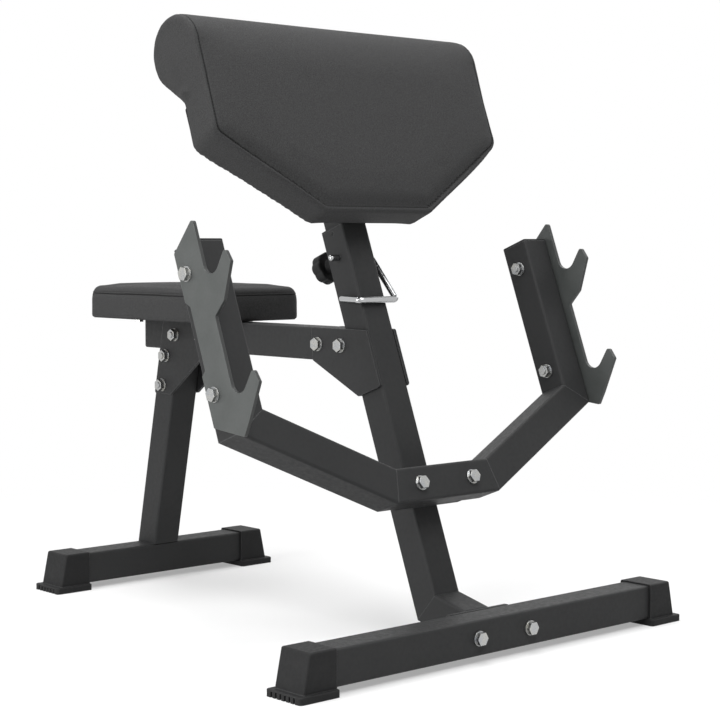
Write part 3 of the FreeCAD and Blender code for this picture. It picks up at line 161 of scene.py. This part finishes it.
def moulded_plastic():
    colour = (0.0110, 0.0111, 0.0114)
    material, tree, shader, place = finish("moulded_black_plastic", colour, 0.42, gloss=0.16)
    edge, rounded = edges(tree, 0.0025)
    scuffed = between(tree, speckle(tree, place, 60, 5), 0.0, 0.5, 0.45, 0.75)
    base = blended(tree, scuffed, colour, (0.0160, 0.0160, 0.0163))
    # Lighter along the edges: a painted highlight.
    tree.links.new(blended(tree, edge, base, (0.055, 0.055, 0.056)), shader.inputs["Base Color"])
    tree.links.new(between(tree, speckle(tree, place, 220), 0.52, 0.66), shader.inputs["Roughness"])
    spark = raised(tree, speckle(tree, place, 2100, 2), 0.00012, 0.4, rounded)
    tree.links.new(spark, shader.inputs["Normal"])
    return material


plastic = moulded_plastic()
dress(plastic, "front_foot_cap_left", "front_foot_cap_right", "rear_foot_cap_left", "rear_foot_cap_right")


# Column: the leaning sleeve tube on its mitred stub and foot flange, with a nylon bushing snapped
# into its mouth and a threaded boss welded to its back for the clamp.

dress(coat, "column", "column_foot_stub", "column_foot_flange", "clamp_boss")
dress(plastic, "column_bushing")


# Seat frame: a beam bolted to the column between two gussets, and the leaning rear post, which is
# bolted up to the beam between two more.

dress(coat, "seat_beam", "rear_post", "front_gusset_left", "front_gusset_right",
      "rear_gusset_left", "rear_gusset_right")
dress(plastic, "seat_beam_plug")


# Bar yoke: a cross tube on a flange, two mitred diagonals and two uprights, welded into one wide U
# that is bolted to the front of the column.

dress(coat, "yoke_flange", "yoke_cross_tube", "yoke_diagonal_left", "yoke_diagonal_right",
      "yoke_upright_left", "yoke_upright_right")
dress(plastic, "yoke_plug_left", "yoke_plug_right")


# Hook plates: 5 mm steel, laser cut and painted satin grey, bolted to the outsides of the uprights. The cut
# edges are painted darker as painted shade, and the corners lighter, for worn paint and a painted highlight.

def hook_paint():
    colour, cut_edge_shade = (0.051, 0.0555, 0.0535), (0.022, 0.023, 0.023)
    material, tree, shader, place = finish("satin_grey_paint", colour, 0.40, metallic=0.25, gloss=0.5)
    edge, rounded = edges(tree, 0.0012)
    sides = tree.nodes.new("ShaderNodeSeparateXYZ")
    tree.links.new(place.outputs["Normal"], sides.inputs["Vector"])
    across = tree.nodes.new("ShaderNodeMath")
    across.operation = "ABSOLUTE"
    tree.links.new(sides.outputs["X"], across.inputs[0])
    cut_edge = between(tree, across.outputs["Value"], 0.8, 0.0, 0.2, 0.9)
    cloud = between(tree, speckle(tree, place, 28, 6), 0.0, 1.0, 0.35, 0.65)
    base = blended(tree, cloud, colour, (0.062, 0.0665, 0.0645))
    # Lighter along the edges: worn paint and a painted highlight.
    wear_and_edge_highlight = blended(tree, edge, base, (0.105, 0.110, 0.108))
    # The cut edges are painted darker: painted shade on edges that face away from the light.
    tree.links.new(blended(tree, cut_edge, wear_and_edge_highlight, cut_edge_shade), shader.inputs["Base Color"])
    tree.links.new(between(tree, speckle(tree, place, 240), 0.36, 0.50), shader.inputs["Roughness"])
    orange_peel = raised(tree, speckle(tree, place, 700, 3), 0.00018, 0.35, rounded)
    tree.links.new(orange_peel, shader.inputs["Normal"])
    return material


dress(hook_paint(), "hook_plate_left", "hook_plate_right")


# Fasteners: zinc-plated hexagon bolts, nuts and washers, bright with a faint blue and yellow bloom
# and fine scratches.

def zinc_plate():
    colour = (0.40, 0.405, 0.41)
    material, tree, shader, place = finish("zinc_plate", colour, 0.30, metallic=1.0)
    _, rounded = edges(tree, 0.0008)
    bloom = between(tree, speckle(tree, place, 90, 3), 0.0, 1.0)
    tinted = blended(tree, bloom, (0.37, 0.38, 0.395), (0.44, 0.435, 0.41))
    tree.links.new(tinted, shader.inputs["Base Color"])
    tree.links.new(between(tree, speckle(tree, place, 500, 4), 0.22, 0.42), shader.inputs["Roughness"])
    scratch = raised(tree, speckle(tree, place, 420, 4, (1, 1, 6)), 0.0001, 0.3, rounded)
    tree.links.new(scratch, shader.inputs["Normal"])
    return material


zinc = zinc_plate()
for group in ("foot_flange", "yoke", "hook_plate", "front_gusset", "rear_gusset"):
    dress(zinc, group + "_bolts", group + "_nuts", group + "_washers")
dress(zinc, "seat_screws", "pad_screws")


# Boards: 12 mm plywood under both cushions, with the grain along the board and the plies showing
# as stripes at its edge.

def plywood():
    light, dark = (0.42, 0.29, 0.165), (0.25, 0.155, 0.080)
    material, tree, shader, place = finish("birch_plywood", light, 0.62, gloss=0.3)
    grain = between(tree, speckle(tree, place, 26, 7, (0.35, 6, 6)), 0.0, 1.0)
    tree.links.new(blended(tree, grain, light, dark), shader.inputs["Base Color"])
    tree.links.new(between(tree, speckle(tree, place, 120), 0.55, 0.72), shader.inputs["Roughness"])
    fibre = raised(tree, speckle(tree, place, 90, 5, (0.3, 5, 5)), 0.0003, 0.5)
    tree.links.new(fibre, shader.inputs["Normal"])
    return material


wood = plywood()
dress(wood, "seat_board", "pad_board")


# Seat: a steel bracket plate on the beam, the board, and a foam block in black leatherette. The top
# panel is sewn to a boxing strip by one seam round the block, about a quarter of the way down.

SEAT_SEAM_DROP = 0.0145
SEAT_WELT = 0.0042
SEAT_CORNER = 0.020
SEAT_CROWN = 1.4
SEAM_STEP = 0.001
STITCH_PITCH = 0.0045
SEAM_SOFT, CREASE_REACH, THREAD_REACH = 0.0065, 0.0011, 0.0012
SEAT_SHOULDER = 0.016
CROWN_FILL = 0.85
HELD_FOOT, HELD_SEAM = 0.008, 0.004
BACK_SKIN, BACK_RIM, BOARD_SINK = 0.0015, 0.004, 0.003


def leatherette():
    colour, rubbed, thread_and_stitch_shade = (0.0295, 0.0297, 0.0300), (0.050, 0.050, 0.0505), (0.003, 0.003, 0.003)
    material, tree, shader, place = finish("black_leatherette", colour, 0.50, gloss=0.12)
    cloud = between(tree, speckle(tree, place, 620, 3), 0.0, 1.0)
    thread_and_shade_mark = tree.nodes.new("ShaderNodeAttribute")
    thread_and_shade_mark.attribute_name = "seam"
    skin = blended(tree, cloud, colour, rubbed)
    # Near-black along the seams: the black thread, with painted shade in the crease and stitch holes.
    tree.links.new(blended(tree, thread_and_shade_mark.outputs["Fac"], skin, thread_and_stitch_shade), shader.inputs["Base Color"])
    pebble = tree.nodes.new("ShaderNodeTexVoronoi")
    pebble.feature = "DISTANCE_TO_EDGE"
    pebble.inputs["Scale"].default_value = 620
    tree.links.new(place.outputs["Object"], pebble.inputs["Vector"])
    crease = between(tree, pebble.outputs["Distance"], 0.0, 1.0, 0.0, 0.22)
    tree.links.new(between(tree, crease, 0.80, 0.64, 0.0, 1.0), shader.inputs["Roughness"])
    pores = raised(tree, speckle(tree, place, 1900, 2), 0.0001, 0.3)
    tree.links.new(raised(tree, crease, 0.0004, 0.8, pores), shader.inputs["Normal"])
    return material


def points(mesh):
    flat = np.empty(len(mesh.vertices) * 3)
    mesh.vertices.foreach_get("co", flat)
    return flat.reshape(-1, 3)


def directions(mesh):
    flat = np.empty(len(mesh.vertices) * 3)
    mesh.vertices.foreach_get("normal", flat)
    return flat.reshape(-1, 3)


def move(mesh, places):
    mesh.vertices.foreach_set("co", places.ravel())
    mesh.update()


def walked(corners, step):
    """Points at even steps along a line through these corners."""
    corners = np.asarray(corners, float)
    runs = np.linalg.norm(np.diff(corners, axis=0), axis=1)
    reach = np.concatenate([[0], np.cumsum(runs)])
    stops = np.arange(0, reach[-1], step)
    return np.column_stack([np.interp(stops, reach, corners[:, k]) for k in range(3)])


def nearest(places, line):
    """For each place, how far it is from the line and which of its points is nearest."""
    tree = KDTree(len(line))
    for number, point in enumerate(line):
        tree.insert(point, number)
    tree.balance()
    found = [tree.find(p) for p in places]
    return np.array([f[2] for f in found]), np.array([f[1] for f in found])


def ramp(values, start, reach):
    """0 up to the start, rising to 1 over the reach."""
    return np.clip((values - start) / reach, 0, 1)


def hill(values, reach):
    """1 at nought, falling off smoothly on both sides over the reach."""
    return np.exp(-(values / reach) ** 2)


def eased(mesh, values, rounds, share):
    """The values evened out over their neighbours, each by its own share."""
    ends = np.empty(len(mesh.edges) * 2, int)
    mesh.edges.foreach_get("vertices", ends)
    ends = ends.reshape(-1, 2)
    count = np.zeros(len(values))
    np.add.at(count, ends[:, 0], 1)
    np.add.at(count, ends[:, 1], 1)
    for _ in range(rounds):
        total = np.zeros_like(values)
        np.add.at(total, ends[:, 0], values[ends[:, 1]])
        np.add.at(total, ends[:, 1], values[ends[:, 0]])
        values = values + share * (total / count[:, None] - values)
    return values


def on_surface(surface, places):
    return np.array([surface.find_nearest(p)[0] for p in places])


def cushion(name, cover, board, place, voxel):
    """A piece with the form of the cover and the board in it, evenly meshed, in its own frame."""
    shape = bmesh.new()
    for node in (cover, board):
        mesh = frame["nodes"][node].data.copy()
        mesh.transform(place.inverted())
        shape.from_mesh(mesh)
    bmesh.ops.remove_doubles(shape, verts=shape.verts[:], dist=0.00002)
    solid = BVHTree.FromBMesh(shape)
    rough = bpy.data.meshes.new(name)
    shape.to_mesh(rough)
    shape.free()
    piece = bpy.data.objects.new(name, rough)
    bpy.context.scene.collection.objects.link(piece)
    squares = piece.modifiers.new("squares", "REMESH")
    squares.mode = "VOXEL"
    squares.voxel_size = voxel
    even = bpy.data.meshes.new_from_object(piece.evaluated_get(bpy.context.evaluated_depsgraph_get()))
    piece.modifiers.remove(squares)
    piece.data = even
    smooth = on_surface(solid, points(even))
    for share in (0.5, -0.52) * 14:
        smooth = eased(even, smooth, 1, share)
    move(even, smooth)
    return piece


def plumped(piece, held, pressure, most):
    """Blows the cover up with cloth, held where held is 1, and keeps its slow swell without the wrinkles."""
    before = points(piece.data)
    group = piece.vertex_groups.new(name="held")
    for number, weight in enumerate(held):
        if weight > 0.01:
            group.add([number], float(weight), "REPLACE")
    cloth = piece.modifiers.new("stuffing", "CLOTH")
    cloth.settings.quality = 5
    cloth.settings.mass = 0.3
    cloth.settings.tension_stiffness = 30
    cloth.settings.compression_stiffness = 30
    cloth.settings.shear_stiffness = 10
    cloth.settings.bending_stiffness = 6
    cloth.settings.use_pressure = True
    cloth.settings.uniform_pressure_force = pressure
    cloth.settings.vertex_group_mass = "held"
    cloth.settings.effector_weights.gravity = 0
    cloth.point_cache.frame_start = 1
    cloth.point_cache.frame_end = 16
    for number in range(1, 17):
        bpy.context.scene.frame_set(number)
    blown = points(piece.evaluated_get(bpy.context.evaluated_depsgraph_get()).data)
    piece.modifiers.remove(cloth)
    bpy.context.scene.frame_set(1)
    swell = eased(piece.data, blown - before, 14, 0.5)
    far = np.linalg.norm(swell, axis=1, keepdims=True)
    move(piece.data, before + swell * np.minimum(1, most / np.maximum(far, 1e-9)))


def refined(mesh, line, reaches):
    """Halves all the squares, then those within each reach of the line once more."""
    shape = bmesh.new()
    shape.from_mesh(mesh)
    bmesh.ops.subdivide_edges(shape, edges=shape.edges[:], cuts=1, use_grid_fill=True, smooth=0.5)
    for reach in reaches:
        shape.verts.index_update()
        far, _ = nearest(np.array([v.co for v in shape.verts]), line)
        close = [e for e in shape.edges if max(far[v.index] for v in e.verts) < reach]
        bmesh.ops.subdivide_edges(shape, edges=close, cuts=1, use_grid_fill=True)
    shape.to_mesh(mesh)
    shape.free()
    mesh.update()


def sewn(mesh, line, dip, crease):
    """Draws a seam in along the line: a soft dip, and a sharp crease, deeper at each stitch, painted
    near-black for the black thread and as painted shade in the crease and stitch holes.
    """
    places, outward = points(mesh), directions(mesh)
    far, along = nearest(places, line)
    along = along * SEAM_STEP
    stitch = 0.5 + 0.5 * np.cos(along * math.tau / STITCH_PITCH)
    slack = np.sin(along * 61) * np.sin(along * 23 + 1.1)
    depth = dip * (1 + 0.12 * slack) * hill(far, SEAM_SOFT)
    depth += crease * (0.6 + 0.4 * stitch) * hill(far, CREASE_REACH)
    move(mesh, places - outward * depth[:, None])
    mark = mesh.attributes.get("seam") or mesh.attributes.new("seam", "FLOAT", "POINT")
    dark = np.empty(len(places))
    mark.data.foreach_get("value", dark)
    # Near-black at the crease, most at each stitch: the thread, with painted shade in the stitch holes.
    thread_and_stitch_shade = (0.55 + 0.45 * stitch) * hill(far, THREAD_REACH) * min(1, crease / 0.001)
    dark = np.maximum(dark, thread_and_stitch_shade)
    mark.data.foreach_set("value", dark)


def upholstered(piece, place, node, body):
    """Puts the piece in its place on the bench, in leatherette, for the node it stands for."""
    piece.data.transform(place)
    piece.data.materials.clear()
    piece.data.materials.append(leather)
    piece.data.polygons.foreach_set("use_smooth", [True] * len(piece.data.polygons))
    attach(piece, body)
    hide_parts(node)


def rounded_outline(corners, inset, radius, steps=6):
    """A convex outline, drawn in from every side and with its corners rounded."""
    corners = np.asarray(corners, float)
    ring = []
    for k, corner in enumerate(corners):
        into = corner - corners[k - 1]
        out = corners[(k + 1) % len(corners)] - corner
        into, out = into / np.linalg.norm(into), out / np.linalg.norm(out)
        bend = math.atan2(into[0] * out[1] - into[1] * out[0], into @ out)
        inward = (out - into) / np.linalg.norm(out - into)
        middle = corner + inward * (inset + radius) / math.cos(bend / 2)
        first = math.atan2(-into[0], into[1])
        for step in range(steps + 1):
            angle = first + bend * step / steps
            ring.append(middle + radius * np.array([math.cos(angle), math.sin(angle)]))
    return np.array(ring)


def hem(name, corners, radius, behind, place, body):
    """The cover's edge folded over the back of the board, and the staples that hold it."""
    levels = (0.0002, -0.0009)
    insets = (0.003, 0.003, 0.024, 0.024)
    heights = (levels[0], levels[1], levels[1], levels[0])
    sections = []
    for inset, height in zip(insets, heights):
        ring = rounded_outline(corners, inset, max(radius - inset, 0.002))
        sections.append([behind(x, y, height) for x, y in ring])
    count = len(sections[0])
    spots = [spot for section in sections for spot in section]
    faces = []
    for k in range(4):
        for n in range(count):
            after = (n + 1) % count
            faces.append((k * count + n, k * count + after,
                          (k + 1) % 4 * count + after, (k + 1) % 4 * count + n))
    strip = bpy.data.meshes.new(name)
    strip.from_pydata(spots, [], faces)
    middle = rounded_outline(corners, 0.013, max(radius - 0.013, 0.002))
    middle = np.column_stack([middle, np.zeros(len(middle))])
    line = walked(np.vstack([middle, middle[:1]]), 0.001)
    spots, faces = [], []
    for start in range(15, len(line) - 12, 34):
        first, last = line[start], line[start + 10]
        run = (last - first) / np.linalg.norm(last - first)
        beside = np.array([-run[1], run[0], 0]) * 0.0006
        base = len(spots)
        for height in (levels[1] + 0.0002, levels[1] - 0.0006):
            for corner in (first + beside, last + beside, last - beside, first - beside):
                spots.append(behind(corner[0], corner[1], height))
        faces += [tuple(base + k for k in face) for face in
                  ((0, 1, 2, 3), (7, 6, 5, 4), (0, 4, 5, 1), (1, 5, 6, 2), (2, 6, 7, 3), (3, 7, 4, 0))]
    pins = bpy.data.meshes.new(name.replace("hem", "staples"))
    pins.from_pydata(spots, [], faces)
    for mesh, finish_used, slot in ((strip, leather, "leatherette"), (pins, zinc, "zinc_steel")):
        mesh.transform(place)
        mesh.materials.append(finish_used)
        piece = bpy.data.objects.new(mesh.name, mesh)
        bpy.context.scene.collection.objects.link(piece)
        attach(piece, body)


leather = leatherette()
dress(coat, "seat_bracket")

low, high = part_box("seat_pad")
seat_middle = (low + high) / 2
seat_place = Matrix.Translation(Vector((seat_middle.x, seat_middle.y, low.z)))
half_wide, half_deep, tall = (high.x - low.x) / 2, (high.y - low.y) / 2, high.z - low.z
seat_corners = [(half_wide, -half_deep), (half_wide, half_deep), (-half_wide, half_deep),
                (-half_wide, -half_deep)]
seat = cushion("seat_cushion", "seat_pad", "seat_board", seat_place, 0.0045)
seam_ring = [(x, y, tall - SEAT_SEAM_DROP) for x, y in rounded_outline(seat_corners, 0.0005, SEAT_CORNER)]
seat_seam = walked(seam_ring + seam_ring[:1], SEAM_STEP)
spots = points(seat.data)
filled = CROWN_FILL * (spots[:, 0] ** 2 + spots[:, 1] ** 2) / (2 * SEAT_CROWN)
spots[:, 2] += filled * ramp(spots[:, 2], 0.2 * tall, 0.5 * tall)
far, _ = nearest(spots, seat_seam)
shoulder = hill(far, SEAT_SHOULDER) * (spots[:, 2] > tall - SEAT_SEAM_DROP + 0.002)
move(seat.data, eased(seat.data, spots, 30, 0.5 * shoulder[:, None]))
plumped(seat, np.maximum(spots[:, 2] < HELD_FOOT, far < HELD_SEAM), 3, 0.003)
spots = points(seat.data)
inside = np.minimum(half_wide - np.abs(spots[:, 0]), half_deep - np.abs(spots[:, 1]))
spots[:, 2] += BOARD_SINK * ((spots[:, 2] < BACK_SKIN) & (inside > BACK_RIM))
move(seat.data, spots)
surface = BVHTree.FromPolygons(spots.tolist(), [tuple(f.vertices) for f in seat.data.polygons])
welt_seam = on_surface(surface, seat_seam + np.array([0, 0, SEAT_WELT]))
seat_seam = on_surface(surface, seat_seam)
refined(seat.data, seat_seam, (0.012, 0.0065))
sewn(seat.data, seat_seam, 0.0012, 0.0014)
sewn(seat.data, welt_seam, 0.0002, 0.0006)
upholstered(seat, seat_place, "seat_pad", "frame")
hem("seat_hem", seat_corners, SEAT_CORNER, lambda x, y, out: (x, y, out), seat_place, "frame")


# Pad carriage: the 40 mm inner post with its end cap and guide shoe, and two flat bars welded across
# it that carry the arm pad's board.

dress(coat, "inner_post", "pad_bar_lower", "pad_bar_upper")
dress(plastic, "inner_post_cap", "inner_post_shoe", "pad_bar_plugs")


# Arm pad: foam on the board with a thick roll at its top edge, under one leatherette front panel that
# wraps round the roll. Boxing strips close the sides and foot, sewn on by a seam round the front, and
# the cover is stapled to the back of the board.

PAD_FRONT, PAD_SWELL = 0.089, 0.010
PAD_FOOT = 0.6345
PAD_CORNER = 0.7425
PAD_NECK = 0.8065
PAD_HALF = 0.280
FOOT_HALF = 0.104
PAD_CORNER_RADIUS = 0.014
ROLL_HIGH, ROLL_OUT, ROLL_RADIUS = 0.884, 0.047, 0.052
BACK_FACE = 0.039
SEAM_INSET = 0.0072
HEM_CORNER = 0.008
ROLL_FILL, ROLL_STRETCH = 0.003, 0.008
FOOT_SAG, TIP_SAG, CORNER_TWIST = 0.0035, 0.0015, 0.0035
SIDE_DIP, FOOT_DIP = 0.0008, 0.0042
SHOULDER_IN, SHOULDER_OUT = 0.012, 0.004
# Each pucker: how far it stands out, then its place and reach out from the column and up along it.
PUCKERS = ((0.0040, 0.048, 0.009, 0.8225, 0.006), (-0.0015, 0.052, 0.010, 0.8120, 0.006),
           (-0.0010, 0.041, 0.005, 0.8550, 0.022))

lean = math.asin(next(j for j in frame["joints"] if j["name"] == "pad_height")["axis"][1])
lean_place = Matrix.Translation((0, -0.3205, 0)) @ Matrix.Rotation(-lean, 4, "X")
arm_corners = [(-FOOT_HALF, PAD_FOOT), (FOOT_HALF, PAD_FOOT), (PAD_HALF, PAD_CORNER), (PAD_HALF, PAD_NECK),
               (-PAD_HALF, PAD_NECK), (-PAD_HALF, PAD_CORNER)]
arm = cushion("arm_cushion", "arm_pad", "pad_board", lean_place, 0.0045)


def pad_face(z):
    return PAD_FRONT + PAD_SWELL * (z - PAD_FOOT) / (ROLL_HIGH - PAD_FOOT)


low_seam = [(x, -pad_face(z), z) for x, z in rounded_outline(arm_corners, SEAM_INSET, PAD_CORNER_RADIUS)
            if z < PAD_NECK - 0.02]
right = [point for point in low_seam if point[0] > 0]
for step in range(15):
    angle = math.radians(14 * step)
    right.append((PAD_HALF - SEAM_INSET, -(ROLL_OUT + ROLL_RADIUS * math.cos(angle)),
                  ROLL_HIGH + ROLL_RADIUS * math.sin(angle)))
arm_seam = walked([(-x, y, z) for x, y, z in right[::-1]] + right, SEAM_STEP)
spots = points(arm.data)
far, _ = nearest(spots, arm_seam)
back = (spots[:, 1] > -BACK_FACE - HELD_FOOT) & (spots[:, 2] < PAD_NECK + HELD_SEAM)
plumped(arm, np.maximum(back, far < HELD_SEAM), 3, 0.004)

# The stuffing rounds the roll out, and the foot hangs a little below the board.
spots = points(arm.data)
across, up = -spots[:, 1], spots[:, 2]
rise = ramp(up, PAD_NECK + 0.010, 0.05)
turn = np.degrees(np.arctan2(up - ROLL_HIGH, across - ROLL_OUT)) % 360
turn = np.where(turn > 250, turn - 360, turn)
fuller = ROLL_FILL * rise * (0.5 - 0.5 * np.cos(np.pi * ramp(turn, -30, 100)))
outward = np.maximum(np.hypot(across - ROLL_OUT, up - ROLL_HIGH), 0.01)
spots[:, 1] -= fuller * (across - ROLL_OUT) / outward
spots[:, 2] += fuller * (up - ROLL_HIGH) / outward
spots[:, 0] *= 1 + ROLL_STRETCH * rise
depth = 1 - ramp(across, BACK_FACE, PAD_FRONT - BACK_FACE)
side_tip = hill(np.abs(spots[:, 0]) - PAD_HALF, 0.06) * hill(up - PAD_CORNER, 0.05)
foot_tip = hill(np.abs(spots[:, 0]) - FOOT_HALF, 0.022) * hill(up - PAD_FOOT, 0.03)
spots[:, 2] -= CORNER_TWIST * (2 * depth - 1) * side_tip + TIP_SAG * depth * foot_tip
spots[:, 2] -= FOOT_SAG * (1 - ramp(up, PAD_CORNER - 0.018, 0.03))

# The front runs smoothly into the roll. The cover is gathered at each end of the neck under it, and
# drawn in along the seam.
bend = hill(up - ROLL_HIGH + 0.004, 0.032) * (across > ROLL_OUT + 0.015)
bend *= 1 - ramp(np.abs(spots[:, 0]), PAD_HALF - 0.030, 0.02)
spots = eased(arm.data, spots, 70, 0.5 * bend[:, None])
across, up = -spots[:, 1], spots[:, 2]
at_side = ramp(np.abs(spots[:, 0]), PAD_HALF - 0.03, 0.03)
gather = sum(height * hill(across - out, out_reach) * hill(up - high, high_reach)
             for height, out, out_reach, high, high_reach in PUCKERS)
spots[:, 0] += np.sign(spots[:, 0]) * gather * at_side
run = np.array([PAD_HALF - FOOT_HALF, PAD_CORNER - PAD_FOOT])
run /= np.linalg.norm(run)
slope = (up - PAD_CORNER) * run[0] - (np.abs(spots[:, 0]) - PAD_HALF) * run[1]
inside = np.minimum(np.minimum(PAD_HALF - np.abs(spots[:, 0]), up - PAD_FOOT), slope)
beyond = inside - SEAM_INSET
shoulder = hill(beyond, np.where(beyond > 0, SHOULDER_IN, SHOULDER_OUT))
shoulder *= (across > pad_face(up) - 0.016) & (up < ROLL_HIGH)
lower = 1 - ramp(up, PAD_CORNER - 0.015, 0.03)
spots[:, 1] += (SIDE_DIP + FOOT_DIP * lower) * shoulder
sunk = ramp(inside, BACK_RIM, 0.007) * (across < BACK_FACE + BACK_SKIN) * (up < PAD_NECK - 0.008)
spots[:, 1] -= BOARD_SINK * sunk
move(arm.data, spots)
surface = BVHTree.FromPolygons(spots.tolist(), [tuple(f.vertices) for f in arm.data.polygons])
arm_seam = on_surface(surface, arm_seam)
refined(arm.data, arm_seam, (0.012, 0.004))
sewn(arm.data, arm_seam, 0.0008, 0.0016)
upholstered(arm, lean_place, "arm_pad", "pad_carriage")
hem("arm_hem", arm_corners, HEM_CORNER, lambda x, y, out: (x, -BACK_FACE - out, y), lean_place,
    "pad_carriage")


# Lock pin: one length of 10 mm round bar, bent into a handle that hooks round the column, and chromed.
# It lies loose in holes through the column and swings up to be drawn out.

def chrome():
    material, tree, shader, place = finish("chrome_plate", (0.44, 0.445, 0.45), 0.16, metallic=1.0)
    tree.links.new(between(tree, speckle(tree, place, 300, 3), 0.10, 0.24), shader.inputs["Roughness"])
    drawn = raised(tree, speckle(tree, place, 260, 3), 0.00006, 0.2)
    tree.links.new(drawn, shader.inputs["Normal"])
    return material


dress(chrome(), "lock_pin")


# Clamp: a moulded star knob on a steel stud, which screws into the boss behind the column and presses a
# nylon pad against the inner post.

dress(plastic, "clamp_knob", "clamp_thrust_pad")
dress(zinc, "clamp_stud")


# Studio: a pale floor that keeps a soft shadow, a white surround, one large lamp overhead, a smaller
# one high in front, one low at each side, and the camera at the photograph's angle.

FLOOR_HALF = 30
FLOOR_LIFT = 0.36
FADE_FROM, FADE_TO = 0.7, 1.5
LAMP_AIM = Vector((0, 0, 0.45))

floor_mesh = bpy.data.meshes.new("floor")
floor_mesh.from_pydata([(x * FLOOR_HALF, y * FLOOR_HALF, 0) for x, y in ((-1, -1), (1, -1), (1, 1), (-1, 1))],
                       [], [(0, 1, 2, 3)])
floor = bpy.data.objects.new("floor", floor_mesh)
bpy.context.scene.collection.objects.link(floor)


def seen_rays(tree):
    """1 for rays from the camera and for mirror and glass rays, and 0 for light that falls on things."""
    path = tree.nodes.new("ShaderNodeLightPath")
    share = path.outputs["Is Camera Ray"]
    for other in ("Is Glossy Ray", "Is Transmission Ray"):
        either = tree.nodes.new("ShaderNodeMath")
        either.operation = "MAXIMUM"
        tree.links.new(share, either.inputs[0])
        tree.links.new(path.outputs[other], either.inputs[1])
        share = either.outputs["Value"]
    return share


paper = bpy.data.materials.new("white_floor")
paper.use_nodes = True
tree = paper.node_tree
shader = tree.nodes["Principled BSDF"]
shader.inputs["Roughness"].default_value = 0.8
shader.inputs["Specular IOR Level"].default_value = 0.0
seen = seen_rays(tree)
tree.links.new(blended(tree, seen, (0.86, 0.86, 0.86), (0.50, 0.50, 0.50)), shader.inputs["Base Color"])
lift = tree.nodes.new("ShaderNodeEmission")
tree.links.new(between(tree, seen, 0.0, FLOOR_LIFT, 0.0, 1.0), lift.inputs["Strength"])
near = tree.nodes.new("ShaderNodeAddShader")
tree.links.new(shader.outputs["BSDF"], near.inputs[0])
tree.links.new(lift.outputs["Emission"], near.inputs[1])
white = tree.nodes.new("ShaderNodeEmission")
white.inputs["Strength"].default_value = 1.0
spot = tree.nodes.new("ShaderNodeTexCoord")
reach = tree.nodes.new("ShaderNodeVectorMath")
reach.operation = "LENGTH"
tree.links.new(spot.outputs["Object"], reach.inputs[0])
share = tree.nodes.new("ShaderNodeMath")
share.operation = "MULTIPLY"
tree.links.new(seen, share.inputs[0])
tree.links.new(between(tree, reach.outputs["Value"], 0.0, 1.0, FADE_FROM, FADE_TO), share.inputs[1])
both = tree.nodes.new("ShaderNodeMixShader")
tree.links.new(share.outputs["Value"], both.inputs[0])
tree.links.new(near.outputs["Shader"], both.inputs[1])
tree.links.new(white.outputs["Emission"], both.inputs[2])
tree.links.new(both.outputs["Shader"], tree.nodes["Material Output"].inputs["Surface"])
floor_mesh.materials.append(paper)

world = bpy.data.worlds.new("white_surround")
bpy.context.scene.world = world
world.use_nodes = True
tree = world.node_tree
surround = tree.nodes["Background"]
surround.inputs["Color"].default_value = (1, 1, 1, 1)
strength = between(tree, seen_rays(tree), 0.12, 1.0, 0.0, 1.0)
tree.links.new(strength, surround.inputs["Strength"])


def lamp(name, place, size, power):
    """A square soft lamp aimed at the middle of the bench."""
    data = bpy.data.lights.new(name, "AREA")
    data.size = size
    data.energy = power
    light = bpy.data.objects.new(name, data)
    light.location = place
    light.rotation_euler = (LAMP_AIM - Vector(place)).to_track_quat("-Z", "Y").to_euler()
    bpy.context.scene.collection.objects.link(light)


lamp("top_lamp", (-0.2, 0.35, 3.5), 2.4, 130)
lamp("front_lamp", (-0.8, -2.2, 3.2), 1.8, 86)
lamp("left_lamp", (-3.2, 0.2, 0.9), 2.0, 82)
lamp("right_lamp", (3.3, 0.2, 1.8), 2.2, 24)

VIEW_AZIMUTH, VIEW_DIP = math.radians(41.82), math.radians(3.778)
FOCAL_PIXELS, PICTURE_PIXELS = 1772.5, 720
camera = bpy.data.objects.new("camera", bpy.data.cameras.new("camera"))
camera.data.sensor_width = 36
camera.data.lens = FOCAL_PIXELS / PICTURE_PIXELS * camera.data.sensor_width
camera.location = (-1.7688, -2.10815, 0.5747)
ahead = Vector((math.sin(VIEW_AZIMUTH) * math.cos(VIEW_DIP), math.cos(VIEW_AZIMUTH) * math.cos(VIEW_DIP),
                -math.sin(VIEW_DIP)))
camera.rotation_euler = ahead.to_track_quat("-Z", "Y").to_euler()
bpy.context.scene.collection.objects.link(camera)
bpy.context.scene.camera = camera
bpy.context.scene.view_settings.view_transform = "Standard"
